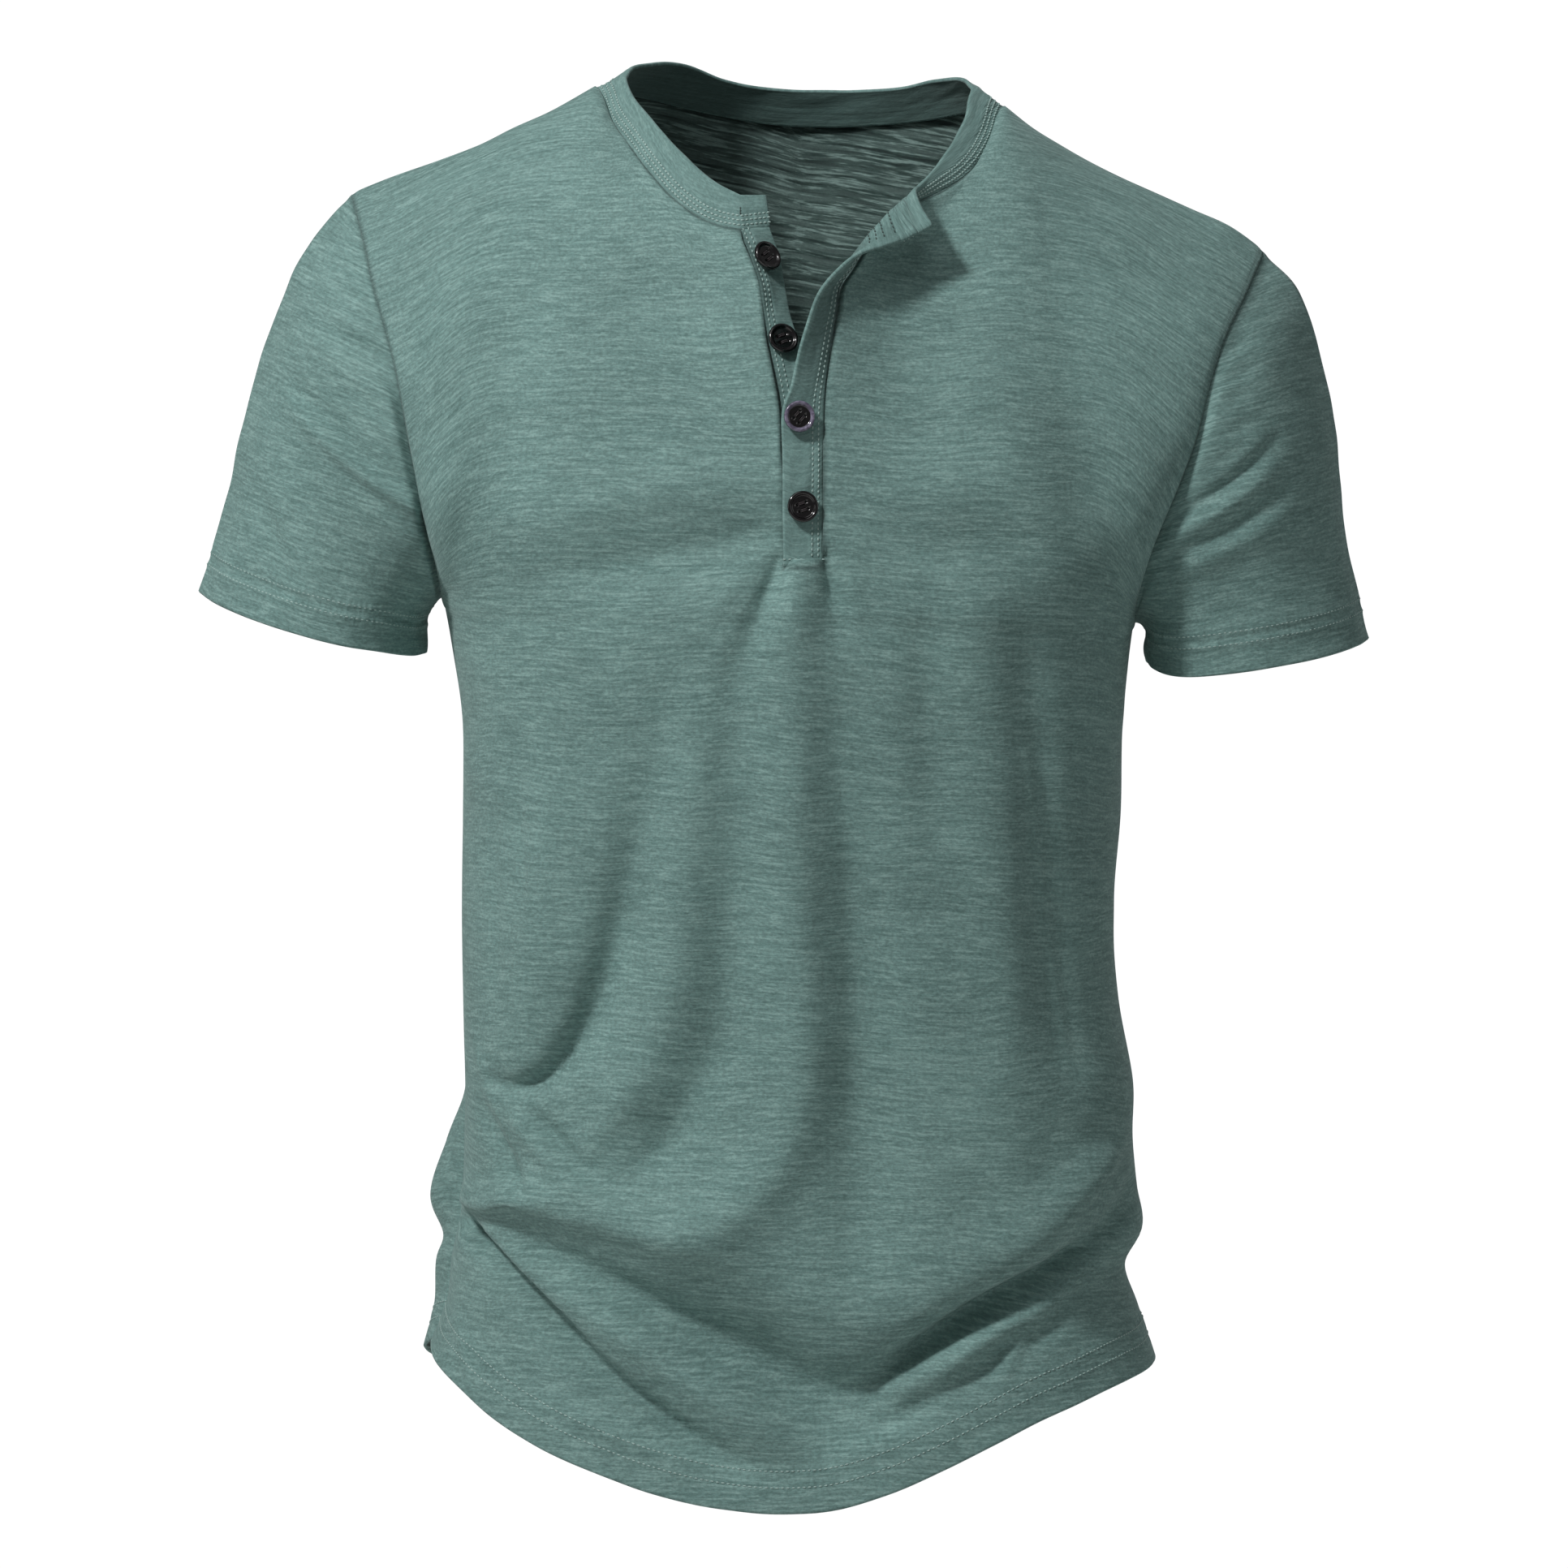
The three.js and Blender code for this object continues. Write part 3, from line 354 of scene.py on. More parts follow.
def panel_points(side):
    """The plain surface of a panel, [across][up], from the hem to the top."""
    low = lower_body(side, panel_u[:, None], lower_rows[None, :])
    high = upper_body(side, panel_u, upper_rows)
    points = np.concatenate([low, high], 1)
    # The change at the underarm is smoothed over a few centimetres, away from the side seams
    joint = len(lower_rows)
    near = bell(np.arange(points.shape[1]) - joint, 9)[None, :, None]
    inside = ease((0.97 - np.abs(panel_u)) / 0.1)[:, None, None]
    for _ in range(30):
        flat = points.copy()
        flat[:, 1:-1] = (points[:, :-2] + 2 * points[:, 1:-1] + points[:, 2:]) / 4
        points = points + (flat - points) * near * inside
    return points


def surface_normals(points, looped=False):
    """Unit normals of a grid of points; they point out of a front, or of a loop seen from outside."""
    if looped:
        wide = np.roll(points, -1, 0) - np.roll(points, 1, 0)
    else:
        wide = np.gradient(points, axis=0)
    normal = np.cross(wide, np.gradient(points, axis=1))
    return normal / np.maximum(np.linalg.norm(normal, axis=-1, keepdims=True), 1e-9)


def walked(points, axis):
    """Length walked along the grid from its first row or column."""
    steps = np.linalg.norm(np.diff(points, axis=axis), axis=-1)
    return np.concatenate([np.zeros_like(np.take(steps, [0], axis)), np.cumsum(steps, axis)], axis)


def fold_relief(folds, x, z):
    """How far the given folds stand out. A fold is points of x, z, out, and two half widths: on the
    wearer's right and left of a fold that runs down, below and above one that runs to their left."""
    total = np.zeros_like(x)
    for fold in folds:
        path = smooth_table(fold, np.linspace(0, len(fold) - 1, 4 * len(fold) - 3))
        nearest = np.full(x.shape, 1e12)
        relief = np.zeros_like(x)
        for a, b in zip(path[:-1], path[1:]):
            dx, dz = b[:2] - a[:2]
            t = np.clip(((x - a[0]) * dx + (z - a[1]) * dz) / (dx * dx + dz * dz), 0, 1)
            off_x, off_z = x - a[0] - dx * t, z - a[1] - dz * t
            distance = off_x**2 + off_z**2
            out, below, above = (a[k] + (b[k] - a[k]) * t for k in (2, 3, 4))
            width = np.where(dx * off_z - dz * off_x > 0, above, below)
            relief = np.where(distance < nearest, out * np.exp(-distance / width**2), relief)
            nearest = np.minimum(nearest, distance)
        total += relief
    return total


def uneven(x, z, seed, size, waves=14):
    """A soft unevenness of the cloth, about one unit high, of waves of the given size."""
    rng = np.random.default_rng(seed)
    total = np.zeros_like(x)
    for _ in range(waves):
        way = rng.uniform(0, 2 * math.pi)
        wave = 2 * math.pi / (size * rng.uniform(0.6, 1.6))
        total += np.sin((x * math.cos(way) + z * math.sin(way)) * wave + rng.uniform(0, 6.3))
    return total / waves**0.5


FRONT_FOLDS = [
    # Long trough from the ribs down to the hooked pocket at the right hip
    [(-54, -262, 0, 16, 16), (-66, -305, -3, 15, 16), (-78, -350, -6, 13, 16), (-88, -392, -8.5, 10, 15),
     (-99, -430, -10.5, 8, 13), (-112, -457, -11, 6, 10), (-127, -474, -9.5, 5, 7),
     (-139, -479, -6, 4, 5), (-151, -477, -1.5, 4, 4)],
    # Full cloth between that trough and the side seam
    [(-121, -290, 0, 12, 14), (-121, -326, 2.5, 9, 14), (-125, -370, 4, 9, 15), (-128, -410, 5, 11, 15),
     (-133, -440, 4.5, 12, 14), (-140, -462, 1.5, 10, 10)],
    # Thin creases beside the side seam
    [(-134, -300, 0, 3, 3), (-137, -340, -1, 3, 3), (-133, -385, -1.2, 3, 3), (-136, -405, 0, 3, 3)],
    [(-147, -330, 0, 3, 3), (-149, -372, -0.9, 3, 3), (-147, -420, -0.9, 3, 3), (-149, -440, 0, 3, 3)],
    # Ridge on the other side of the trough
    [(-43, -255, 0, 16, 14), (-52, -310, 3, 16, 14), (-56, -365, 4.2, 16, 14), (-62, -420, 5, 15, 14),
     (-76, -466, 5, 12, 12), (-94, -496, 4, 9, 10), (-104, -508, 1.5, 8, 8)],
    # Trough between that ridge and the middle one
    [(-33, -265, 0, 12, 12), (-33, -310, -1.5, 12, 12), (-33, -360, -2.2, 12, 13),
     (-34, -410, -3, 12, 14), (-42, -455, -4.5, 12, 14), (-57, -490, -5.5, 11, 13),
     (-74, -512, -4.5, 9, 11), (-88, -524, -1, 8, 9)],
    # Middle ridge, down from the placket and away to the right hip
    [(-6, -240, 2.5, 12, 10), (-4, -287, 5, 17, 11), (-4, -345, 7, 18, 11), (-2, -403, 8.5, 18, 12),
     (0, -461, 9, 19, 13), (-10, -507, 9.5, 20, 15), (-33, -536, 9.5, 18, 17), (-56, -548, 7, 15, 14),
     (-76, -550, 2.5, 12, 12)],
    # Middle trough beside it
    [(17, -262, 0, 8, 16), (18, -315, -2, 8, 19), (22, -365, -4.6, 9, 22), (26, -415, -6, 10, 22),
     (27, -470, -6.5, 12, 22), (26, -520, -5, 13, 20), (22, -555, -2.5, 13, 18), (16, -578, 0, 12, 14)],
    # Shallow trough left of the middle
    [(60, -235, 0, 12, 14), (58, -270, -2.5, 9, 14), (60, -320, -2.5, 10, 14), (66, -370, -1.2, 13, 14),
     (70, -410, 0, 14, 14)],
    # Ridge where the left side turns away
    [(84, -215, 0, 18, 18), (86, -262, 2.4, 16, 14), (92, -320, 3, 20, 15), (95, -400, 3, 20, 15),
     (97, -470, 3, 20, 16), (96, -525, 1.5, 20, 18), (94, -545, 0, 18, 18)],
    # Trough beyond it
    [(102, -240, 0, 12, 12), (108, -285, -2.4, 13, 10), (114, -345, -3.6, 13, 8),
     (121, -415, -3.8, 13, 8), (127, -465, -2, 12, 8), (132, -495, 0, 11, 8)],
    # Thin ridge in that trough
    [(103, -295, 0, 3, 3), (109, -335, 1, 3, 3), (116, -385, 1.4, 3, 3), (124, -440, 1.4, 3, 3),
     (130, -475, 0, 3, 3)],
    # Full chest on the right
    [(-158, -208, 0, 14, 20), (-112, -202, 4, 12, 26), (-74, -194, 5, 12, 26), (-35, -191, 5, 12, 24),
     (-16, -191, 2.5, 12, 20)],
    # Hollow under it, pulled up to the placket
    [(-152, -240, 0, 20, 10), (-104, -231, -3.5, 24, 10), (-74, -225, -4.5, 22, 9),
     (-43, -218, -4.2, 16, 8), (-16, -212, -2.2, 10, 6)],
    # Full chest on the left
    [(22, -198, 0, 14, 22), (61, -191, 2.5, 14, 26), (100, -183, 2.5, 14, 26), (136, -176, 0, 14, 22)],
    # Hollow under it
    [(22, -225, 0, 20, 12), (73, -221, -2.6, 22, 12), (106, -216, -2, 22, 12), (140, -208, 0, 20, 12)],
    # Pulled crease at the right corner of the placket
    [(-12, -226, -3.5, 4, 4), (-18, -241, -5, 4, 6), (-26, -262, -3.5, 6, 8), (-34, -285, -1.2, 9, 10),
     (-38, -300, 0, 9, 10)],
    # Puffed cloth under the placket's end
    [(-2, -233, 2.5, 7, 6), (-3, -256, 3, 10, 9)],
    # Pulled crease at its left corner
    [(10.5, -224, -3.5, 3, 5), (13, -240, -4.8, 4, 6), (16, -256, -2, 6, 8), (18, -270, 0, 6, 8)],
    # Fine pulls beside the placket's end
    [(-20, -222, 0, 2.5, 2.5), (-34, -238, 1.2, 2.5, 3), (-50, -262, 0, 2.5, 3)],
    [(20, -228, 0, 2.5, 2.5), (24, -246, 0.9, 2.5, 3), (27, -270, 0, 2.5, 3)],
    # The side seam, drawn forward by the fold at the right hip
    [(-161, -448, 0.3, 2.2, 2.2), (-156, -470, 1, 2.2, 2.2), (-148, -495, 1.2, 2.2, 2.2),
     (-138, -515, 1, 2.2, 2.2), (-130, -528, 0.4, 2.2, 2.2)],
    # Crease at the right hip, outer
    [(-156, -485, 0, 4, 4), (-150, -500, -3.5, 4.5, 5), (-140, -518, -5.5, 5, 5), (-133, -528, -5, 5, 4),
     (-130, -534, -1, 4, 4)],
    # Ridge between the two hip creases
    [(-146, -486, 0, 5, 5), (-134, -500, 3.2, 5, 5), (-120, -514, 4, 5, 6), (-104, -526, 3, 6, 6),
     (-90, -534, 1, 6, 6)],
    # Crease at the right hip, inner
    [(-134, -488, 0, 4, 4), (-122, -500, -3.5, 4, 4), (-108, -514, -4, 4, 5), (-92, -526, -3.5, 5, 6),
     (-76, -534, 0, 6, 6)],
    # Lip at the right side seam
    [(-172, -536, 2, 4, 8), (-153, -539, 7.5, 4, 10), (-138, -535, 8, 4, 10), (-124, -535, 3, 5, 10)],
    # Dark pocket under it, at the side
    [(-182, -536, -2, 3, 3), (-175, -543, -10, 4, 3), (-166, -550, -11, 4, 3), (-158, -556, -5, 4, 3)],
    # Lip of the sag across the lower belly
    [(-146, -533, 0, 8, 14), (-124, -536, 8, 8, 18), (-98, -541, 11, 9, 20), (-65, -549, 11.5, 11, 22),
     (-35, -559, 9, 13, 24), (-4, -572, 5.5, 15, 24), (30, -587, 5.5, 13, 22), (60, -577, 6, 12, 22),
     (89, -562, 6, 11, 20), (118, -543, 6.5, 9, 16), (140, -522, 5.5, 6, 11), (152, -508, 2, 5, 8)],
    # Undercut below that lip
    [(-150, -549, 0, 8, 7), (-129, -557, -8, 10, 9), (-100, -571, -13, 12, 11),
     (-65, -587, -14.5, 14, 12), (-27, -604, -14, 17, 13), (4, -620, -14, 27, 12),
     (34, -622, -12, 22, 11), (60, -606, -10, 10, 10), (81, -592, -9.5, 8, 10), (116, -572, -9, 8, 9),
     (147, -550, -8, 8, 8), (162, -531, -4, 7, 7)],
    # Roll of cloth below the undercut on the right
    [(-150, -554, 1, 6, 7), (-130, -564, 5, 7, 9), (-100, -584, 8.5, 9, 11), (-72, -604, 9, 10, 12),
     (-40, -628, 8, 10, 12), (-12, -644, 4.5, 9, 10), (2, -652, 1, 8, 8)],
    # Sharp crease under that roll
    [(-172, -541, -2, 5, 3), (-162, -549, -6, 6, 3), (-149, -560, -8, 7, 2.5), (-138, -571, -9, 8, 2.5),
     (-116, -592, -11, 11, 3), (-98, -610, -11, 12, 3.5), (-70, -631, -10, 12, 3.5),
     (-38, -652, -6, 11, 4), (-8, -664, -1.5, 9, 5)],
    # Thin roll of cloth on the left
    [(36, -626, 0, 8, 5), (48, -619, 7.5, 9, 6), (73, -602, 9, 9, 5), (104, -585, 7.5, 7, 5),
     (132, -569, 3, 5, 4)],
    # Narrow trough above it
    [(34, -613, -5, 6, 6), (58, -600, -9, 6, 6), (93, -580, -9, 6, 6), (134, -560, -4, 5, 6)],
    # Trough under that roll
    [(20, -648, 0, 8, 5), (52, -632, -3, 8, 5), (92, -608, -4, 8, 5), (124, -586, -2, 7, 4),
     (140, -574, 0, 6, 4)],
    # Small fold in the hem on the left
    [(95, -614, 1.8, 5, 4), (105, -599, 3, 4, 4), (116, -587, 1, 4, 4)],
    # Small fold in the hem in the middle
    [(19, -653, 1.8, 5, 5), (36, -647, 2.6, 4, 5), (54, -639, 1.2, 4, 5)],
    # Small folds in the hem on the right
    [(-120, -632, 1.6, 5, 5), (-88, -646, 2.4, 4, 5), (-51, -657, 1.2, 5, 5)],
    [(-172, -586, 0, 4, 4), (-166, -602, 1.6, 4, 4), (-160, -622, 1.6, 4, 4), (-156, -634, 0, 4, 4)],
]


def cloth_mesh(name, points, uv, wall, kept=None, looped=False, flipped=False, pucker=None, shade=None):
    """A thin closed shell of cloth: the grid outside, the same grid moved in by the wall, and round
    edges. Slot 0 of its materials is the face of the cloth and slot 1 its reverse. pucker says where
    stitching gathers the cloth, shade where its colour is darkened as painted shade: in seams too deep
    for light, in the gap under the placket's end and where a strip twists from the light."""
    across, up = points.shape[:2]
    index = np.arange(across * up).reshape(across, up)
    nexts = np.roll(index, -1, 0) if looped else index[1:]
    here = index if looped else index[:-1]
    quads = np.stack([here[:, :-1], nexts[:, :-1], nexts[:, 1:], here[:, 1:]], -1)
    if kept is not None:
        quads = quads[kept]
    quads = quads.reshape(-1, 4)
    if flipped:
        quads = quads[:, ::-1]
    flat = points.reshape(-1, 3)
    diagonals = np.cross(flat[quads[:, 2]] - flat[quads[:, 0]], flat[quads[:, 3]] - flat[quads[:, 1]])
    normals = np.zeros_like(flat)
    for k in range(4):
        np.add.at(normals, quads[:, k], diagonals)
    normals /= np.maximum(np.linalg.norm(normals, axis=1, keepdims=True), 1e-9)
    walls = np.broadcast_to(wall, points.shape[:2]).reshape(-1, 1)
    inner = flat - normals * walls

    # The edges that belong to one quad only get a round rim of two strips
    edges = np.concatenate([quads[:, [k, (k + 1) % 4]] for k in range(4)])
    keys = edges[:, 0].astype(np.int64) * len(flat) + edges[:, 1]
    back_keys = edges[:, 1].astype(np.int64) * len(flat) + edges[:, 0]
    rim = edges[~np.isin(keys, back_keys)]
    outward = np.zeros_like(flat)
    along = flat[rim[:, 1]] - flat[rim[:, 0]]
    for k in range(2):
        np.add.at(outward, rim[:, k], np.cross(along, normals[rim[:, k]]))
    on_rim = np.unique(rim)
    outward = outward[on_rim]
    outward /= np.maximum(np.linalg.norm(outward, axis=1, keepdims=True), 1e-9)
    middle = (flat[on_rim] + inner[on_rim]) / 2 + outward * walls[on_rim] * 0.4
    middle_of = np.zeros(len(flat), int)
    middle_of[on_rim] = np.arange(len(on_rim)) + 2 * len(flat)
    a, b = rim[:, 0], rim[:, 1]
    rims = np.concatenate([
        np.stack([b, a, middle_of[a], middle_of[b]], -1),
        np.stack([middle_of[b], middle_of[a], a + len(flat), b + len(flat)], -1),
    ])
    every = np.concatenate([flat, inner, middle])
    faces = np.concatenate([quads, quads[:, ::-1] + len(flat), rims])
    used = np.unique(faces)
    place = np.zeros(len(every), int)
    place[used] = np.arange(len(used))

    mesh = bpy.data.meshes.new(name)
    mesh.from_pydata((every[used] * MM).tolist(), [], place[faces].tolist())
    uv_flat = uv.reshape(-1, 2)
    uv_every = np.concatenate([uv_flat, uv_flat, uv_flat[on_rim]]) * MM
    layer = mesh.uv_layers.new(name="cloth")
    layer.data.foreach_set("uv", uv_every[faces.reshape(-1)].astype(np.float32).ravel())
    slots = np.r_[np.zeros(len(quads)), np.ones(len(quads)), np.zeros(len(rims))].astype(np.int32)
    mesh.polygons.foreach_set("material_index", slots)
    mesh.polygons.foreach_set("use_smooth", np.ones(len(faces), bool))
    for name_of, given in (("pucker", pucker), ("shade", shade)):
        values = np.zeros(len(flat)) if given is None else given.reshape(-1)
        store = mesh.attributes.new(name_of, "FLOAT", "POINT")
        store.data.foreach_set("value", np.r_[values, values, values[on_rim]][used].astype(np.float32))
    mesh.update()
    return add_object(name, mesh)


class Tree:
    """Adds and links the nodes of one material or geometry tree."""

    def __init__(self, tree):
        self.nodes, self.links = tree.nodes, tree.links

    def add(self, kind, values=(), **settings):
        node = self.nodes.new(kind)
        for name, value in settings.items():
            setattr(node, name, value)
        for socket, value in dict(values).items():
            self.put(node.inputs[socket], value)
        return node

    def put(self, socket, value):
        if isinstance(value, bpy.types.NodeSocket):
            self.links.new(value, socket)
        else:
            socket.default_value = value

    def math(self, operation, a, b):
        return self.add("ShaderNodeMath", {0: a, 1: b}, operation=operation).outputs[0]

    def mix(self, share, a, b):
        """A mix of two colours."""
        return self.add("ShaderNodeMix", {0: share, 6: a, 7: b}, data_type="RGBA").outputs[2]

    def reach(self, value, low, high, to_low=0.0, to_high=1.0, kind="SMOOTHSTEP"):
        """A value's way from low to high, told as a way from to_low to to_high."""
        numbers = dict(enumerate((value, low, high, to_low, to_high)))
        return self.add("ShaderNodeMapRange", numbers, interpolation_type=kind).outputs[0]

    def noise(self, output, where, dimensions="3D", **numbers):
        """An output of a noise texture, its numbers named as its sockets are."""
        node = self.add("ShaderNodeTexNoise", {"Vector": where, **numbers}, noise_dimensions=dimensions)
        return node.outputs[output]

    def cloth_noise(self, where, scale, detail, roughness):
        """A noise whose scale is how often it repeats per metre, across and up the cloth."""
        mapped = self.add("ShaderNodeMapping", {"Vector": where, "Scale": (*scale, 1.0)}).outputs[0]
        return self.noise("Fac", mapped, "2D", Scale=1.0, Detail=detail, Roughness=roughness)


def colour(red, green, blue):
    """A screen colour of 0 to 255 as the renderer's linear colour."""
    shares = [value / 255 for value in (red, green, blue)]
    return (*[c / 12.92 if c <= 0.04045 else ((c + 0.055) / 1.055) ** 2.4 for c in shares], 1.0)


def new_material(name):
    """A material with a plain shader, and the tree to build it in."""
    material = bpy.data.materials.new(name)
    material.use_nodes = True
    return material, Tree(material.node_tree)


def jersey(name, body, light, dark, streak, grain=0.5, wide=1.0, lean=0.0, gathered=2.2):
    """Slub jersey: thick and thin yarn leaves short light and dark streaks along the rows of knitting.
    streak is how strong they are, grain how strong the single stitches, wide how coarse the streaks,
    lean how far the rows slope, gathered how deep the puckers beside the stitching."""
    material, t = new_material(name)
    t.nodes.clear()
    where = t.add("ShaderNodeUVMap", uv_map="cloth").outputs[0]
    where = t.add("ShaderNodeMapping", {"Vector": where, "Rotation": (0.0, 0.0, lean)}).outputs[0]

    # The rows wander a little, so the streaks aren't ruled lines
    wander = t.noise("Color", where, "2D", Scale=11.0, Detail=1.0)
    push = t.add("ShaderNodeVectorMath", {0: wander, 1: (0.5, 0.5, 0.5)}, operation="SUBTRACT")
    push = t.add("ShaderNodeVectorMath", {0: push.outputs[0], 1: (0.0, 0.01, 0.0)}, operation="MULTIPLY")
    where = t.add("ShaderNodeVectorMath", {0: where, 1: push.outputs[0]}).outputs[0]

    high = wide**0.3
    long_slub = t.cloth_noise(where, (55 / wide, 640 / high), 3.0, 0.6)
    short_slub = t.cloth_noise(where, (180 / wide, 960 / high), 2.0, 0.65)
    rows = t.cloth_noise(where, (9, 300), 2.0, 0.6)
    cloud = t.cloth_noise(where, (16, 26), 2.0, 0.5)
    stitches = t.cloth_noise(where, (480, 760), 2.0, 0.7)

    slub = t.math("ADD", t.math("MULTIPLY", long_slub, 0.6), t.math("MULTIPLY", short_slub, 0.4))
    thick = t.reach(slub, 0.5, 0.62)
    thin = t.reach(slub, 0.5, 0.36)
    paint = t.mix(t.math("MULTIPLY", thick, streak), body, light)
    paint = t.mix(t.math("MULTIPLY", thin, streak), paint, dark)
    paint = t.mix(t.math("MULTIPLY", t.reach(rows, 0.35, 0.7), streak * 0.35), paint, light)
    speckle = t.reach(stitches, 0.3, 0.7, -0.15 * grain, 0.15 * grain)
    shade = t.math("ADD", t.reach(cloud, 0.25, 0.75, 0.94, 1.04), speckle)
    # Painted shade: the shade attribute darkens the colour, down to 0.45, where seams, the gap under the
    # placket's end and a strip twisted from the light would lie in shade
    painted_shade = t.add("ShaderNodeAttribute", attribute_name="shade").outputs["Fac"]
    shade = t.math("MULTIPLY", shade, t.reach(painted_shade, 0.0, 1.0, 1.0, 0.45, "LINEAR"))
    shaded = t.add("ShaderNodeVectorMath", {0: paint, "Scale": shade}, operation="SCALE").outputs[0]

    # Thread pulled tight along a row of stitches gathers the cloth into small puckers
    pucker = t.add("ShaderNodeAttribute", attribute_name="pucker").outputs["Fac"]
    gathers = t.cloth_noise(where, (230, 40), 1.0, 0.5)
    height = t.math("ADD", t.math("MULTIPLY", slub, 0.5), t.math("MULTIPLY", stitches, 0.22 * grain))
    height = t.math("ADD", height, t.math("MULTIPLY", t.math("MULTIPLY", gathers, pucker), gathered))
    bump = t.add("ShaderNodeBump", {"Height": height, "Strength": 0.75, "Distance": 0.0006}).outputs[0]

    shader = t.add("ShaderNodeBsdfPrincipled", {
        "Base Color": shaded, "Roughness": t.reach(slub, 0.3, 0.7, 0.82, 0.94), "Normal": bump,
        "Specular IOR Level": 0.25, "Sheen Weight": 0.18, "Sheen Roughness": 0.5,
        "Sheen Tint": (0.8, 0.95, 0.92, 1.0),
    })
    t.add("ShaderNodeOutputMaterial", {0: shader.outputs[0]})
    return material


# Sage-green cloth; the reverse shows the slub far more strongly, in darker green, darkened further as painted
# shade for the inside seen through the neck
SAGE, SAGE_LIGHT, SAGE_DARK = colour(114, 146, 142), colour(148, 180, 175), colour(92, 122, 118)
jersey_face = jersey("sage_jersey", SAGE, SAGE_LIGHT, SAGE_DARK, 0.62, 1.0)
jersey_reverse_painted_shade = jersey(
    "sage_jersey_reverse_painted_shade", colour(68, 89, 85), colour(140, 166, 161), colour(46, 62, 60),
    1.0, 0.6, 2.4, -0.14,
)


def thread(name, low, high):
    """Sewing thread, its twisted strands between a low and a high colour."""
    material, t = new_material(name)
    strands = t.noise("Fac", t.add("ShaderNodeTexCoord").outputs["Object"], Scale=2600.0, Detail=1.0)
    shader = t.nodes["Principled BSDF"]
    t.put(shader.inputs["Base Color"], t.mix(strands, low, high))
    t.put(shader.inputs["Roughness"], 0.6)
    t.put(shader.inputs["Sheen Weight"], 0.2)
    return material


sage_thread = thread("sage_thread", colour(140, 170, 165), colour(190, 214, 208))


def stitch_tree():
    """Lays stitches of a given length, width and pitch along every line, flat on the cloth."""
    tree = bpy.data.node_groups.new("stitch_rows", "GeometryNodeTree")
    tree.is_modifier = True
    face = tree.interface
    face.new_socket("Geometry", in_out="OUTPUT", socket_type="NodeSocketGeometry")
    face.new_socket("Geometry", in_out="INPUT", socket_type="NodeSocketGeometry")
    for name, value in (("Pitch", 0.0026), ("Stitch length", 0.0019), ("Thread width", 0.0007)):
        face.new_socket(name, in_out="INPUT", socket_type="NodeSocketFloat").default_value = value
    face.new_socket("Thread", in_out="INPUT", socket_type="NodeSocketMaterial")
    t = Tree(tree)
    given = t.add("NodeGroupInput").outputs
    line = t.add("GeometryNodeMeshToCurve", {"Mesh": given["Geometry"]}).outputs[0]
    even = {"Curve": line, "Length": given["Pitch"]}
    line = t.add("GeometryNodeResampleCurve", even, mode="LENGTH").outputs[0]
    tangent = t.add("GeometryNodeInputTangent").outputs[0]
    facing = t.add("GeometryNodeInputNamedAttribute", {"Name": "facing"}, data_type="FLOAT_VECTOR").outputs[0]
    turn = t.add("FunctionNodeAlignRotationToVector", {"Vector": tangent}, axis="X").outputs[0]
    upright = {"Rotation": turn, "Vector": facing}
    turn = t.add("FunctionNodeAlignRotationToVector", upright, axis="Z", pivot_axis="X")
    bead = t.add("GeometryNodeMeshUVSphere", {"Segments": 6, "Rings": 5, "Radius": 0.5}).outputs[0]
    bead = t.add("GeometryNodeSetShadeSmooth", {"Geometry": bead}).outputs[0]
    spread_of = {2: 0.88, 3: 1.1, "Seed": 7}
    uneven_length = t.add("FunctionNodeRandomValue", spread_of, data_type="FLOAT").outputs[1]
    size = t.add("ShaderNodeCombineXYZ", {
        "X": t.math("MULTIPLY", given["Stitch length"], uneven_length), "Y": given["Thread width"],
        "Z": t.math("MULTIPLY", given["Thread width"], 0.8),
    }).outputs[0]
    laid = t.add("GeometryNodeInstanceOnPoints", {
        "Points": line, "Instance": bead, "Rotation": turn.outputs[0], "Scale": size,
    }).outputs[0]
    laid = t.add("GeometryNodeRealizeInstances", {"Geometry": laid}).outputs[0]
    laid = t.add("GeometryNodeSetMaterial", {"Geometry": laid, "Material": given["Thread"]}).outputs[0]
    t.links.new(laid, t.add("NodeGroupOutput").inputs[0])
    return tree


stitch_rows = stitch_tree()


def sew(name, lines, pitch=2.6, length=1.9, width=0.75, sewn_with=sage_thread):
    """Rows of stitches as one plain mesh. Each line is its points and the way the cloth faces there."""
    mesh = bpy.data.meshes.new(name)
    points = np.concatenate([p for p, _ in lines])
    facings = np.concatenate([n for _, n in lines])
    edges, first = [], 0
    for p, _ in lines:
        edges += [(first + k, first + k + 1) for k in range(len(p) - 1)]
        first += len(p)
    mesh.from_pydata(((points + facings * width * 0.2) * MM).tolist(), edges, [])
    store = mesh.attributes.new("facing", "FLOAT_VECTOR", "POINT")
    store.data.foreach_set("vector", facings.astype(np.float32).ravel())
    guide = add_object(name + "_guide", mesh)
    modifier = guide.modifiers.new("stitches", "NODES")
    modifier.node_group = stitch_rows
    sizes = {
        "Pitch": pitch * MM, "Stitch length": length * MM, "Thread width": width * MM,
        "Thread": sewn_with,
    }
    for item in stitch_rows.interface.items_tree:
        if item.in_out == "INPUT" and item.name in sizes:
            modifier[item.identifier] = sizes[item.name]
    ready = guide.evaluated_get(bpy.context.evaluated_depsgraph_get())
    laid = bpy.data.meshes.new_from_object(ready)
    laid.name = name
    bpy.data.objects.remove(guide)
    return add_object(name, laid)


def row_at(points, normals, distance, from_end=False):
    """A line across a grid at a distance up from its first row, or down from its last, and its normals."""
    if from_end:
        points, normals = points[:, ::-1], normals[:, ::-1]
    up = walked(points, 1)
    return tuple(
        np.array([[np.interp(distance, up[k], grid[k, :, c]) for c in range(3)] for k in range(len(grid))])
        for grid in (points, normals)
    )


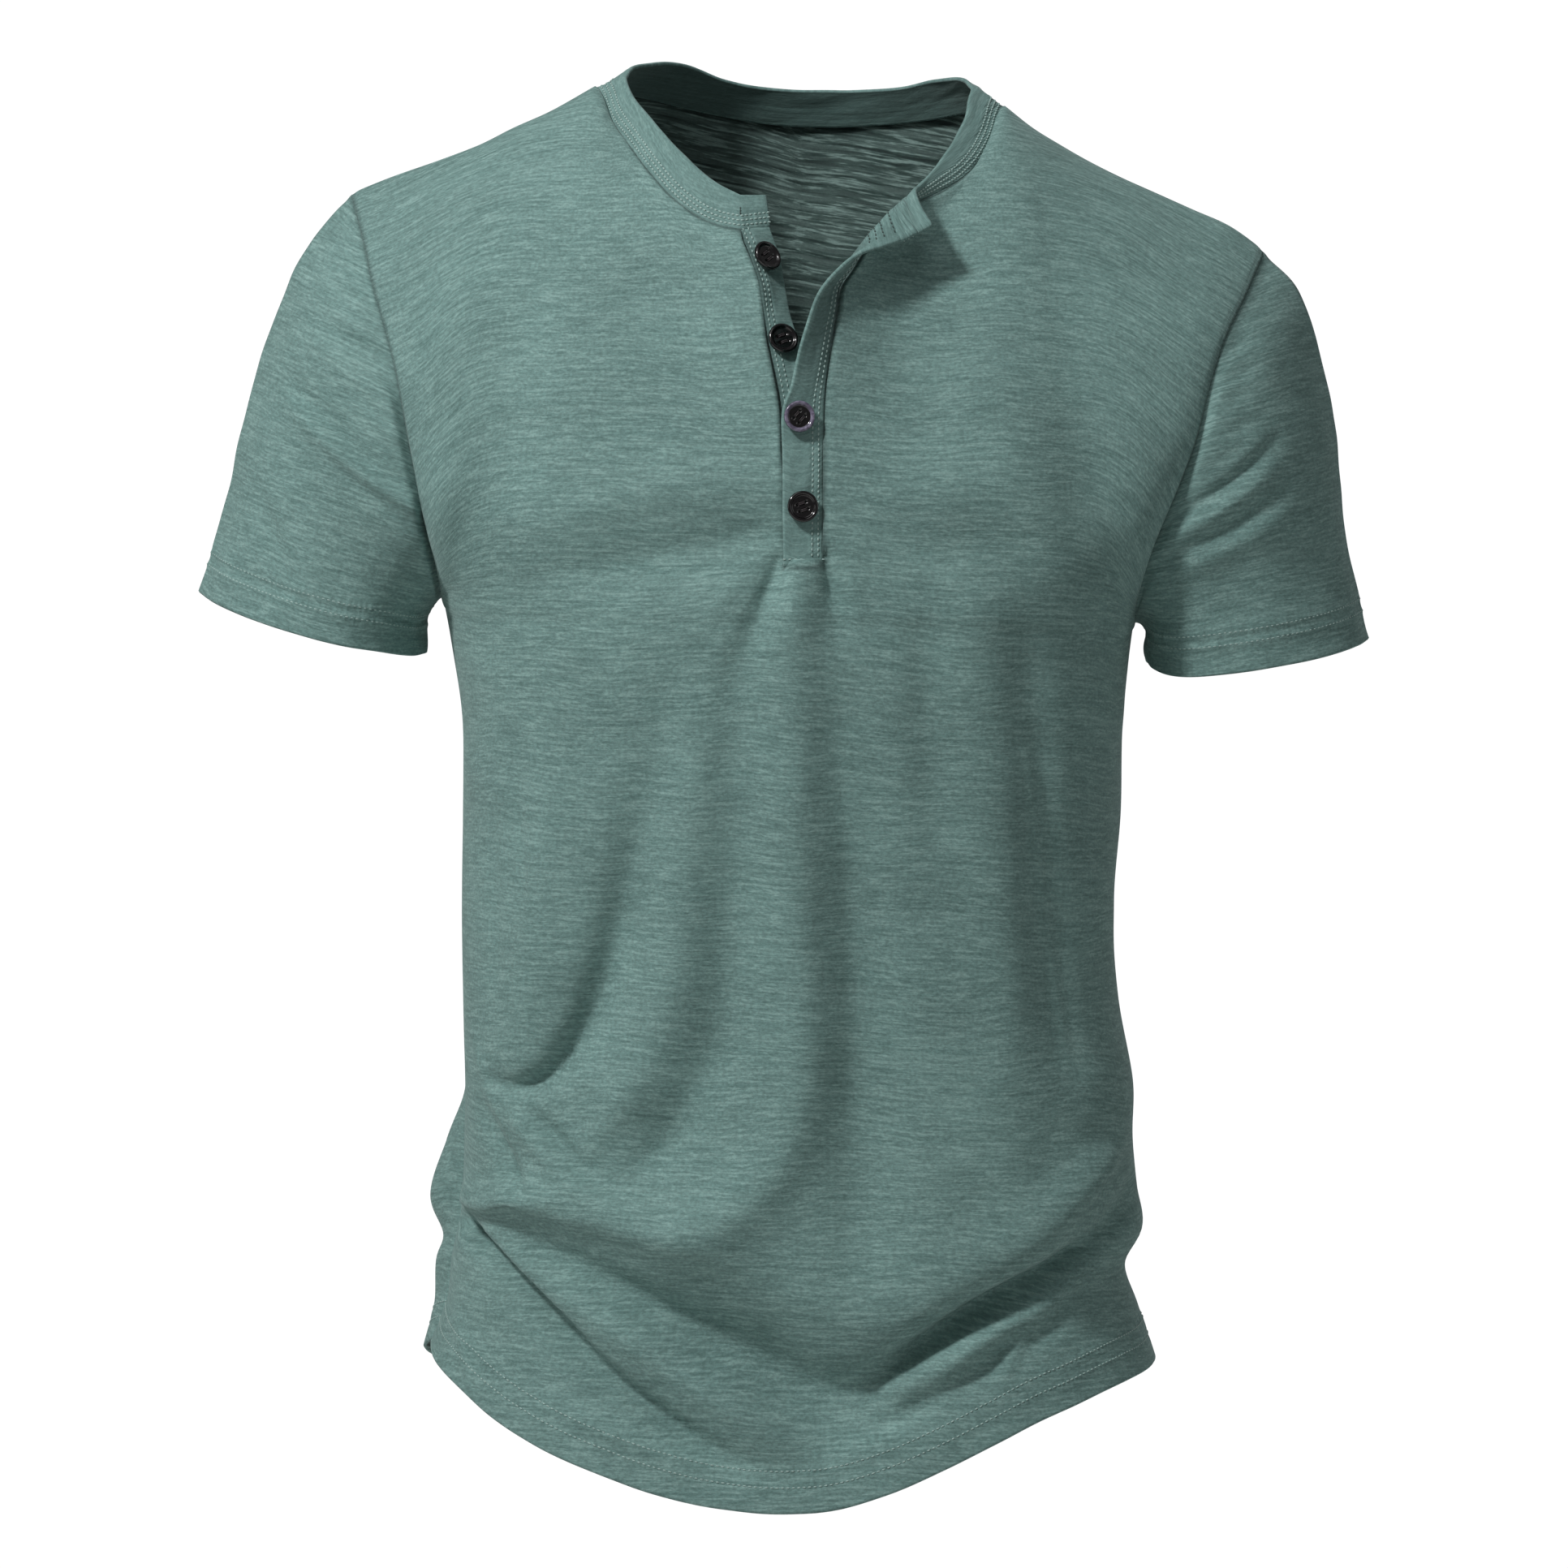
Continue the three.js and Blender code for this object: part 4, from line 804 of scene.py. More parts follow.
def finish_piece(piece, materials=(), node=None):
    """Gives a piece its materials and ties it to the shirt's body."""
    for material in materials:
        piece.data.materials.append(material)
    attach(piece, "root")
    if node:
        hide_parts(node)


def finish_sheet(cloth, materials, node, stitches, **sheet):
    """Finishes a sheet of cloth and the stitches on it; sheet is not used."""
    finish_piece(cloth, materials, node)
    for rows in stitches:
        finish_piece(rows)


def seam_dip(distance, depth, width=3.0):
    """Cloth beside a seam stands a little proud of the stitched line."""
    return depth * (1 - bell(distance, width))


def from_rows(distance, rows):
    """How far each point is from the nearest row of stitches."""
    return np.min([np.abs(distance - row) for row in rows], 0)


def hem_relief(distance, near_row, lift):
    """A turned-up hem is double, so it stands out, and is drawn in along its stitches."""
    return lift * ease((HEM_DEPTH - distance) / 5) - 0.35 * bell(near_row, 1.3)


def hem_wall(distance):
    """The thickness of the cloth at a distance from its hemmed edge."""
    return np.where(distance < HEM_DEPTH - 3, HEM_WALL, JERSEY_WALL)


def panel_piece(side, folds, seed, area):
    """A panel with its folds, its turned-up hem and the dips along its seams."""
    is_front = side == "front"
    facing = 1 if is_front else -1
    flat = panel_points(side)
    normals = surface_normals(flat) * facing
    x, z = flat[..., 0], flat[..., 2]
    fade = ease((1 - np.abs(panel_u)) * 6)[:, None]
    relief = fold_relief(folds, x, z) * fade
    relief += (uneven(x, z, seed, 70) * 0.7 + uneven(x, z, seed + 1, 24) * 0.16) * fade
    out, up = walked(flat, 0), walked(flat, 1)
    joint = len(lower_rows)
    high = np.arange(up.shape[1]) > joint
    from_top = up[:, -1:] - up
    relief *= np.where(high, ease(from_top / FOLD_FADE), 1)
    from_side = np.minimum(out, out[-1] - out)
    relief += seam_dip(from_side, 1.1)
    relief[:, joint:] += seam_dip(from_top[:, joint:], 0.9)
    if is_front:
        slit = [int(np.argmin(np.abs(panel_u - s * SLOT_HALF))) for s in (-1, 1)]
        from_slit = np.minimum(np.abs(out - out[slit[0]]), np.abs(out - out[slit[1]]))
        first = joint + SLOT_ROWS
        beside_slit = seam_dip(from_slit, 0.7, 2.0) - 0.7
        relief[:, first:] += beside_slit[:, first:]
        relief[:, joint:first] += beside_slit[:, joint:first] * np.linspace(0, 1, SLOT_ROWS)
    near_row = from_rows(up, HEM_ROWS)
    relief += hem_relief(up, near_row, 0.5)
    points = flat + normals * relief[..., None]
    pucker = bell(near_row, 3.5) + 0.5 * bell(from_side, 5)
    # Painted shade along the neckline and armhole seams, beside the placket's slit and in the gap under its
    # lower end
    from_neck = np.where((np.abs(panel_u) < NECK_SHARE)[:, None] & high, from_top, FAR)
    from_arm = np.where(high, from_side, FAR)
    shade = bell(from_neck + 0.5 * np.sin(out / 3.1), 1.6) + 0.8 * bell(from_arm, 1.5)
    if is_front:
        shade[:, first:] += 0.9 * bell(from_slit[:, first:], 1.3)
        under_end = PLACKET_END + (x / 9) ** 2 * 1.2
        shade += bell(z - under_end, 1.4) * np.exp(-((x / 8.5) ** 6))

    girth = walked(lower_body(side, panel_u, 0)[:, None], 0)[:, 0]
    across = np.broadcast_to((girth - girth[-1] / 2)[:, None], up.shape)
    along = up - up[:, joint:joint + 1]
    uv = np.stack([across if is_front else BACK_CLOTH_AT - across, along], -1)
    kept = None
    if is_front:
        kept = np.ones((len(panel_u) - 1, points.shape[1] - 1), bool)
        kept[slit[0]:slit[1], first + 3:] = False
    piece = cloth_mesh(
        side + "_panel_cloth", points, uv, hem_wall(up), kept,
        flipped=not is_front, pucker=pucker, shade=shade,
    )
    facings = surface_normals(points) * facing
    hem = sew(side + "_hem_stitches", [row_at(points, facings, row) for row in HEM_ROWS])
    finish_sheet(
        piece, [jersey_face, jersey_reverse_painted_shade], side + "_panel", [hem], flat=(0.53, 0.74), area=area,
        rests_on=["back_panel" if is_front else "front_panel"],
    )


panel_piece("front", FRONT_FOLDS, FRONT_SEED, 0.33)


# The back panel is cut whole, without a slit, and hangs a little closer to the body.
# Its folds aren't in sight in the photograph: soft drapes from the shoulder blades, then a low sag.
BACK_FOLDS = [
    # Drapes down from the shoulder blades
    [(60, -150, 0.5, 18, 18), (75, -240, 2.5, 18, 18), (92, -330, 4, 18, 18), (106, -430, 3, 16, 16)],
    [(40, -250, -1, 16, 16), (58, -330, -3.5, 15, 15), (86, -420, -5.5, 14, 14), (120, -485, -5, 10, 10)],
    [(-55, -150, 0.5, 18, 18), (-66, -260, 2.5, 18, 18), (-74, -350, 3.5, 18, 18),
     (-84, -440, 3, 16, 16)],
    [(-36, -280, -1, 16, 16), (-52, -370, -3.5, 15, 15), (-84, -450, -5.5, 13, 13),
     (-118, -500, -5, 9, 9)],
    [(0, -200, 0.5, 22, 22), (4, -320, 3, 24, 16), (2, -450, 4, 24, 16), (-6, -540, 3, 22, 18)],
    [(24, -260, -1, 12, 20), (28, -380, -3, 12, 20), (26, -500, -3, 12, 20)],
    # Full cloth beside the troughs
    [(134, -330, 1.5, 16, 16), (136, -420, 3.5, 16, 16), (138, -470, 2, 14, 14)],
    [(-136, -330, 1.5, 16, 16), (-138, -430, 3.5, 16, 16), (-140, -480, 2, 14, 14)],
    # Pulls from the underarms
    [(150, -215, -2, 6, 10), (118, -230, -2, 7, 12), (84, -236, -0.6, 9, 14)],
    [(-158, -210, -2, 6, 10), (-124, -224, -2, 7, 12), (-90, -232, -0.6, 9, 14)],
    # The sag across the lower back, its undercut and the roll below
    [(-150, -525, 3, 12, 18), (-90, -548, 4, 12, 20), (0, -565, 5, 13, 22), (90, -552, 4, 12, 20),
     (146, -522, 3, 10, 16)],
    [(-152, -545, -5, 11, 9), (-80, -572, -7, 13, 10), (10, -590, -7, 14, 12), (96, -574, -6, 12, 10),
     (152, -542, -5, 9, 9)],
    [(-120, -580, 3, 10, 13), (-50, -604, 4.5, 11, 14), (40, -612, 4.5, 12, 14), (120, -590, 3, 9, 12)],
    # Small folds in the hem
    [(-70, -618, 0.8, 6, 6), (-48, -632, 1.5, 6, 6), (-30, -640, 0.6, 6, 6)],
    [(60, -630, 0.8, 6, 6), (86, -616, 1.5, 6, 6), (108, -606, 0.6, 6, 6)],
]
panel_piece("back", BACK_FOLDS, BACK_SEED, 0.34)


# The short set-in sleeves are one piece each, seamed under the arm and round the armhole.
# Their cuffs are turned up inside and held with two rows of stitches, like the hem.
CUFF_ROWS = (14, 20)
SLEEVE_CLOTH_AT = 2000
CUFFS = {
    ("front", -1): Line([
        (-299, 0, -240), (-288, -22, -246), (-273, -37, -252), (-252, -50, -259), (-226, -54, -266),
        (-204, -44, -270), (-190, -22, -272), (-184, 0, -271),
    ]),
    ("back", -1): Line([
        (-299, 0, -240), (-292, 24, -243), (-276, 44, -248), (-252, 57, -255), (-224, 58, -262),
        (-202, 45, -267), (-189, 22, -270), (-184, 0, -271),
    ]),
    ("front", 1): Line([
        (280, 0, -263), (273, -20, -266), (260, -37, -270), (238, -51, -275), (208, -53, -280),
        (182, -40, -282), (169, -20, -279), (165.5, 0, -273),
    ]),
    ("back", 1): Line([
        (280, 0, -263), (276, 24, -264), (262, 44, -267), (238, 57, -271), (208, 57, -276),
        (183, 42, -278), (169, 21, -277), (165.5, 0, -273),
    ]),
}
# Folds that show on the sleeves, written as the panel's are
SLEEVE_FOLDS = {
    -1: [
        # Hollow beside the armhole seam
        [(-206, -126, 0, 8, 6), (-194, -160, -4, 15, 7), (-187, -185, -6.5, 18, 8),
         (-183, -212, -7, 16, 8), (-182, -242, -3.5, 10, 7)],
        # Ridge over the long crease
        [(-256, -134, 0, 5, 7), (-246, -144, 2, 4, 7), (-224, -167, 3.2, 4, 8), (-204, -183, 3.2, 4, 8),
         (-186, -196, 1.5, 4, 8)],
        # Long crease across the upper arm
        [(-252, -146, 0, 4, 3), (-244, -155, -2, 5, 3), (-223, -175, -3.6, 5, 3),
         (-203, -190, -3.8, 5, 3), (-184, -202, -3, 5, 3)],
        # Edge of cloth below it
        [(-240, -163, 0, 4, 3), (-220, -183, 1.5, 5, 3), (-198, -199, 1.8, 5, 3),
         (-184, -208, 0.8, 5, 3)],
        # Ridge over the second crease
        [(-240, -108, 0, 6, 7), (-226, -116, 1.8, 5, 7), (-208, -128, 2.6, 5, 7),
         (-194, -138, 1.5, 5, 7)],
        # Second crease
        [(-242, -116, 0, 6, 5), (-226, -128, -2, 6, 5), (-206, -144, -3, 7, 5), (-190, -156, -3, 8, 5)],
        # Third crease
        [(-234, -103, 0, 4, 4), (-218, -112, -1.8, 4, 4), (-204, -121, -1.8, 4, 4)],
        # Short creases near the shoulder
        [(-232, -84, 0, 3, 3), (-218, -91, -1.3, 3, 3), (-207, -96, -1, 3, 3)],
        [(-224, -146, 0, 3, 3), (-208, -158, -1, 3, 3), (-194, -168, -1.2, 3, 3)],
        # Ridge down the outside to the cuff
        [(-273, -176, 0, 6, 6), (-266, -196, 1.8, 7, 4), (-258, -216, 2.2, 7, 4),
         (-250, -234, 1.2, 6, 4)],
        # Full cloth above the cuff
        [(-242, -186, 0, 12, 12), (-226, -210, 1.8, 16, 16), (-222, -230, 1.2, 14, 14)],
        # Short fold above the cuff
        [(-279, -229, 0.8, 5, 4), (-259, -238, 1.2, 5, 4), (-243, -246, 0.6, 5, 4)],
    ],
    1: [
        # Hollow beside the armhole seam
        [(208, -118, 0, 5, 8), (198, -143, -2, 6, 12), (190, -166, -3, 6, 18), (180, -190, -3.2, 6, 20),
         (171, -213, -3.2, 6, 20), (166, -236, -2.5, 6, 16)],
        # Upper ridge across the arm
        [(168, -209, 1.5, 5, 3), (188, -199, 2.4, 5, 3), (205, -188, 2.6, 5, 3), (222, -174, 2.2, 5, 3),
         (234, -162, 0, 5, 3)],
        # Trough between the ridges
        [(174, -215, -1, 4, 4), (196, -204, -1.8, 4, 4), (216, -190, -1.8, 4, 4), (232, -176, 0, 4, 4)],
        # Lower ridge across the arm
        [(170, -227, 1, 5, 3), (190, -217, 2, 5, 3), (212, -205, 2.4, 5, 3), (228, -194, 1.8, 5, 3),
         (238, -184, 0, 5, 3)],
        # Trough under the lower ridge
        [(176, -235, 0, 5, 4), (204, -221, -1.6, 6, 4), (229, -206, -1.2, 6, 4), (242, -196, 0, 5, 4)],
        # Short pulls at the shoulder
        [(200, -125, 0, 3, 3), (209, -121, 1.4, 3, 3), (222, -116, 0, 3, 3)],
        [(200, -139, 0, 3, 3), (211, -135, 1.3, 3, 3), (224, -130, 0, 3, 3)],
        [(197, -152, 0, 3, 3), (208, -147, 0.9, 3, 3), (220, -141, 0, 3, 3)],
        [(196, -168, 0, 4, 4), (212, -161, 1.2, 4, 4), (228, -155, 0, 4, 4)],
        [(190, -184, 0, 3, 3), (204, -175, 1, 3, 3), (216, -168, 0, 3, 3)],
        # Full cloth above the cuff
        [(188, -241, 0.8, 12, 12), (208, -247, 1.4, 14, 14), (226, -245, 0.6, 12, 12)],
    ],
}
# Folds behind the arms, out of sight in the photograph: pulls from the armhole down to the cuff
SLEEVE_BACK_FOLDS = {
    -1: [
        [(-200, -170, -3, 10, 10), (-192, -215, -5, 10, 10), (-188, -240, -3, 9, 9)],
        [(-262, -150, -1, 6, 6), (-236, -178, -3, 7, 7), (-206, -206, -3, 7, 7)],
        [(-254, -132, 1, 9, 9), (-228, -160, 2.5, 9, 9), (-204, -186, 2, 9, 9)],
        [(-276, -190, 1, 10, 10), (-262, -218, 2, 11, 11), (-246, -240, 1, 10, 10)],
    ],
    1: [
        [(192, -170, -3, 10, 10), (186, -215, -5, 10, 10), (176, -245, -3, 9, 9)],
        [(252, -160, -1, 6, 6), (226, -190, -3, 7, 7), (194, -218, -3, 7, 7)],
        [(248, -142, 1, 9, 9), (220, -172, 2.5, 9, 9), (194, -198, 2, 9, 9)],
        [(262, -205, 1, 10, 10), (246, -232, 2, 11, 11), (226, -254, 1, 10, 10)],
    ],
}


def sleeve_piece(name, sign, seed):
    """A sleeve: a tube from the armhole to the cuff, its loop running from the top round the front."""
    stations = spread(0, 1, 92, ())
    v = np.r_[stations[::-1][:-1], stations[:-1]]
    facing = np.r_[-np.ones(len(stations) - 1), np.ones(len(stations) - 1)]
    in_front = (facing < 0)[:, None]
    arm, cuff = (
        np.where(in_front, ends["front", sign].at(1 - v), ends["back", sign].at(1 - v))
        for ends in (ARMHOLES, CUFFS)
    )
    high, round_off = ease(v), np.sin(math.pi * v)
    leave = np.stack([sign * (34 + 102 * high), facing * 26 * round_off, -(14 + 71 * high)], -1)
    arrive = np.stack([sign * (8 + 58 * high), -facing * 8 * round_off, -(34 + 154 * high)], -1)
    steps = np.r_[0, 0.006, 0.014, 0.024, np.linspace(0.036, 0.84, 74), np.linspace(0.85, 1, 30)]
    flat = hermite(*[a[:, None, :] for a in (arm, leave, cuff, arrive)], steps[:, None])
    normals = surface_normals(flat, looped=True) * -sign
    x, z = flat[..., 0], flat[..., 2]
    down = walked(flat, 1)
    to_cuff = down[:, -1:] - down
    to_front = ease((0.5 - facing * ease(np.sin(math.pi * v) * 3) * 0.5 - 0.25) / 0.5)[:, None]
    folds = fold_relief(SLEEVE_FOLDS[sign], x, z) * to_front
    folds += fold_relief(SLEEVE_BACK_FOLDS[sign], x, z) * (1 - to_front)
    relief = folds * ease(down / 8) * ease((to_cuff + 12) / 24)
    relief += (uneven(x, z, seed, 55) * 0.6 + uneven(x, z, seed + 1, 20) * 0.15) * ease(down / 12)
    near_row = from_rows(to_cuff, CUFF_ROWS)
    relief += seam_dip(down, 1.2)
    relief += hem_relief(to_cuff, near_row, 0.45)
    points = flat + normals * relief[..., None]
    girth = walked(np.concatenate([cuff, cuff[:1]])[:, None], 0)[:-1, 0]
    around = np.broadcast_to(girth[:, None], down.shape)
    # The shade attribute paints shade along the armhole seam
    piece = cloth_mesh(
        name + "_cloth", points, np.stack([around + SLEEVE_CLOTH_AT * sign, to_cuff], -1),
        hem_wall(to_cuff), looped=True, flipped=sign < 0,
        pucker=bell(near_row, 3.5) + 0.6 * bell(down, 5), shade=0.8 * bell(down, 1.5),
    )
    facings = surface_normals(points, looped=True) * -sign
    lines = []
    for row in CUFF_ROWS:
        ring = row_at(points, facings, row, from_end=True)
        lines.append(tuple(np.concatenate([part, part[:1]]) for part in ring))
    finish_sheet(
        piece, [jersey_face, jersey_reverse_painted_shade], name, [sew(name + "_cuff_stitches", lines)],
        flat=(0.37, 0.22), area=0.052, rests_on=["front_panel", "back_panel"],
    )


sleeve_piece("sleeve_right", -1, 31)
sleeve_piece("sleeve_left", 1, 41)


# The placket is two strips of the same jersey, folded double and sewn to the edges of the slit.
# The one on the wearer's right carries the upper buttons and lies flat. The left one lies over it
# at the bottom, and at the top it is turned out and twists over, so that its inside shows.
PLACKET_WALL = 1.8
STRIP_CLOTH_AT = 3000
UNDER_EDGE = [
    (-16.6, -84, -66.1), (-11.5, -86, -80.9), (-9.6, -89, -91.5), (-6.9, -95, -106.8),
    (-2.6, -102, -121), (2.7, -107, -136.5), (6.4, -110.6, -152), (7.7, -113.2, -175.2),
    (7.7, -115.8, -202.1), (7.7, -117.4, -227.9),
]
OVER_MIDDLE = [
    (41.5, -93, -61.4), (36.4, -97.5, -66.7), (31, -101.5, -72.4), (25.1, -105.5, -79.9), (19.7, -109, -87),
    (12, -112, -95.9), (8.9, -114, -109.1), (5.4, -116, -124.5), (1.9, -117.5, -141.4),
    (-0.4, -118.3, -153.7), (-0.8, -120, -175.3), (-0.8, -122.2, -202.2), (-0.4, -122.6, -227.9),
]
OVER_EDGE = [
    (45.4, -100, -73.9), (37.9, -106, -76.7), (30.5, -110, -79.2), (23.5, -114, -82.9),
    (17.3, -116, -87.7), (8.1, -119, -98.2), (2.7, -120.5, -111.6), (-1.9, -121, -126.2),
    (-6.1, -121, -144.6), (-9.6, -120.3, -154.5), (-9.8, -121.8, -175.3), (-9.6, -124, -202.2),
    (-9.4, -123.2, -227.9),
]
under_lines = Line(SLIT_RIGHT), Line(UNDER_EDGE)
over_lines = Line(SLIT_LEFT), Line(OVER_MIDDLE), Line(OVER_EDGE)


def under_strip(across, down):
    """Points of the lower strip, [down][across], from its seam to its free edge."""
    step = under_lines[0].step_of(down)
    seam, edge = (line.at_step(step)[:, None] for line in under_lines)
    return seam + (edge - seam) * np.asarray(across, float)[None, :, None]


def over_strip(across, down):
    """Points of the upper strip, [down][across], from its seam to its free edge."""
    step = over_lines[0].step_of(down)
    rows = np.stack([line.at_step(step) for line in over_lines], 1)
    return np.stack([Line(row).at(across) for row in rows])


jersey_band = jersey("sage_jersey_strips", SAGE, SAGE_LIGHT, SAGE_DARK, 0.4, 0.8)
dark_thread = thread("dark_sage_thread", colour(48, 66, 63), colour(74, 96, 92))


def strip_piece(name, strip, facing, rows, seed, flat, away=0.0, end_row=None, flap_rows=()):
    """A folded strip with puckers along its stitches, with painted shade of strength away where it twists
    from the light.
    end_row is how far above its lower end a row crosses it, flap_rows the rows inside its turned end."""
    across = np.r_[0, 0.03, 0.07, np.linspace(0.12, 0.88, 15), 0.93, 0.97, 1]
    down = np.linspace(0, 1, 116)
    points = strip(across, down).transpose(1, 0, 2)
    normals = surface_normals(points) * facing
    wide, long = walked(points, 0), walked(points, 1)
    near_row = from_rows(wide, rows)
    swell = np.sin(math.pi * wide / wide[-1:])
    relief = 0.25 * np.sin(long / 8.3 + seed) * swell - 0.3 * bell(near_row, 1.0)
    relief += 0.35 * np.maximum(swell, 0) ** 0.5
    relief += uneven(wide * 3, long, seed, 26) * 0.14
    points = points + normals * relief[..., None]
    # Painted shade: along the seam, and over the twisted part of the strip, short of its lit free edge
    twist_shade = ease((down - 0.06) / 0.08) * ease((0.62 - down) / 0.2) * away
    shade = 0.8 * bell(wide, 1.1) + ease((0.93 - across) / 0.1)[:, None] * twist_shade
    piece = cloth_mesh(
        name + "_cloth", points, np.stack([wide + STRIP_CLOTH_AT + 100 * seed, -long], -1), PLACKET_WALL,
        flipped=facing < 0, pucker=bell(near_row, 2.5), shade=shade,
    )
    facings = surface_normals(points) * facing
    lines = [row_at(points.transpose(1, 0, 2), facings.transpose(1, 0, 2), row) for row in rows]
    if end_row:
        lines.append(row_at(points, facings, end_row, from_end=True))
    sewn = [sew(name + "_stitches", lines, pitch=2.5, length=1.7, width=0.8)]
    if flap_rows:
        inside = points - facings * PLACKET_WALL
        rows_at = [(inside[6:16, k], -facings[6:16, k]) for k in flap_rows]
        sewn.append(sew(name + "_flap_stitches", rows_at, 2.2, 1.9, 0.8, dark_thread))
    finish_sheet(piece, [jersey_band, jersey_band], name, sewn, flat=flat, rests_on=["front_panel"])


strip_piece("placket_under", under_strip, -1, (1.6, 4.4), 2, (0.019, 0.175))
strip_piece("placket_over", over_strip, 1, (2.6, 5.6), 3, (0.024, 0.195), 0.6, 3.0, (1, 5, 8, 11))


# The neckband is a bias strip folded double round the neck, with its cut edges sewn under.
# Three rows of cover stitch run just above its seam. Its left end turns out with the placket.
BAND_WALL = 2.0
BAND_EDGE = [
    Line([(-18.5, -79, -50.3), (-30.5, -82.5, -50.5)]),
    Line([
        (-30.5, -82.5, -50.5), (-41.5, -77.5, -44.8), (-51.3, -69, -36.9), (-63.3, -55, -24.4),
        (-73.8, -38, -11.5), (-82.9, -20, 0), (-86.3, -8, 7.5), (-87.3, 0, 11.7),
    ]),
    Line([
        (-87.3, 0, 11.7), (-84.1, 18, 18.2), (-72.5, 40, 22.3), (-59.1, 56, 22.3), (-39.3, 72, 15.8),
        (-13.3, 82, 12), (21.9, 82, 11.2), (49.4, 66, 11.7), (64.8, 48, 14), (79.4, 18, 12.6), (83.3, 0, 7.3),
    ]),
    Line([
        (83.3, 0, 7.3), (81.3, -12, 0.5), (79.5, -22, -8.5), (73.1, -40, -21.9), (66, -54, -32.9),
        (58.3, -67, -42.7), (54.6, -76, -47.6),
    ]),
    Line([(54.6, -76, -47.6), (53.8, -83, -51), (56, -90, -57.5), (61, -96, -65.9)]),
]
BAND_ROWS = (2.5, 5.0, 7.5)
BAND_CLOTH_AT = 5000
# The turned-out end lies beyond this x and in front of this y
TURNED_OUT = (40, -74)
# Where the pulled thread lies on the grid: its place round the band, and up the band
PULLED_AT, PULLED_FROM, PULLED_TO = 8, 10, 14


def band_grid():
    """The neckband from its right end round the back to its left end, [round][seam to edge]."""
    counts = (9, 46, 84, 46, 12)
    shares = [np.linspace(0, 1, n) for n in counts]
    seams = [
        under_strip(1 - shares[0], np.array([0.0]))[0],
        NECK_FRONT_RIGHT.at(1 - shares[1]),
        NECK_BACK.at(shares[2]),
        NECK_FRONT_LEFT.at(1 - shares[3]),
        over_strip(shares[4], np.array([0.0]))[0],
    ]
    edges = [line.at(share) for line, share in zip(BAND_EDGE, shares)]
    seam = np.concatenate([seams[0]] + [s[1:] for s in seams[1:]])
    edge = np.concatenate([edges[0]] + [e[1:] for e in edges[1:]])
    across = np.r_[0, 0.03, 0.07, np.linspace(0.12, 0.88, 17), 0.93, 0.97, 1]
    return seam[:, None] + (edge - seam)[:, None] * across[None, :, None]


# The band's inside is the same cloth painted darker, as painted shade for the inside of the neck
jersey_band_inside_painted_shade = jersey(
    "sage_jersey_band_inside_painted_shade", colour(84, 110, 106), colour(104, 130, 126), colour(66, 90, 86),
    0.4, 0.6, gathered=0.0,
)
band_flat = band_grid()
band_wide, band_long = walked(band_flat, 1), walked(band_flat, 0)
band_near = from_rows(band_wide, BAND_ROWS)
band_relief = 0.7 * np.sin(math.pi * np.clip(band_wide / band_wide[:, -1:], 0, 0.9999)) ** 0.6
band_relief -= 0.28 * bell(band_near, 0.9)
band_relief += uneven(band_long, band_wide * 2, 5, 30) * 0.2
band_points = band_flat - surface_normals(band_flat) * band_relief[..., None]
neckband = cloth_mesh(
    "neckband_cloth", band_points, np.stack([band_long + BAND_CLOTH_AT, band_wide], -1), BAND_WALL,
    flipped=True, pucker=bell(band_near, 2.5),
)
# The turned-out end, which is in the light, gets the face's colour on its inside too, without the painted
# shade
for face in neckband.data.polygons:
    if face.center.x > TURNED_OUT[0] * MM and face.center.y < TURNED_OUT[1] * MM:
        face.material_index = 0
band_facings = -surface_normals(band_points)
band_lines = [row_at(band_points, band_facings, row) for row in BAND_ROWS]
# A short pulled thread near the band's right end
pulled_line = tuple(grid[PULLED_AT, PULLED_FROM:PULLED_TO] for grid in (band_points, band_facings))
finish_sheet(
    neckband, [jersey_band, jersey_band_inside_painted_shade], "neckband",
    [
        sew("neckband_stitches", band_lines, pitch=2.3, length=1.8, width=0.95),
        sew("neckband_pulled_thread", [pulled_line], 1.3, 1.6, 0.7, dark_thread),
    ],
    flat=(0.018, 0.56), rests_on=["front_panel", "back_panel"],
)


# Four round buttons of dark brown polished plastic, turned with a raised rim and a dished middle.
# Each is sewn on through four holes with brown thread, which stands it a little off the strip.
BUTTON_STAND_OFF = 0.85
BUTTON_DISH = 2.0
HOLE_RADIUS = 0.85
HOLE_SPACING = 1.7
BUTTON_SIDES = 64
HOLE_SIDES = 16
THREAD_RADIUS = 0.3
SHANK_RADIUS = 1.7
# The turned outline, radius and height, from the dish over the rim to the flat back
BUTTON_PROFILE = [
    (4.7, 2.0), (5.05, 2.04), (5.35, 2.2), (5.6, 2.55), (5.85, 2.9), (6.2, 3.13), (6.6, 3.2), (6.95, 3.1),
    (7.25, 2.85), (7.43, 2.5), (7.5, 2.05), (7.46, 1.5), (7.3, 0.95), (6.95, 0.45), (6.4, 0.12), (5.8, 0.0),
]
# Each button's strip, its place down and across the strip, and how far it is turned
BUTTONS = [
    ("button_1", under_strip, 0.1, 0.42, 0.5),
    ("button_2", under_strip, 0.35, 0.4, 0.2),
    ("button_3", over_strip, 0.615, 0.64, 0.9),
    ("button_4", over_strip, 0.85, 0.56, 0.35),
]
# The third button's rim is painted a light violet grey over these rings of its profile, as a painted
# reflection of the light
PAINTED_REFLECTION_BUTTON = "button_3"
PAINTED_REFLECTION_RINGS = (2, 9)


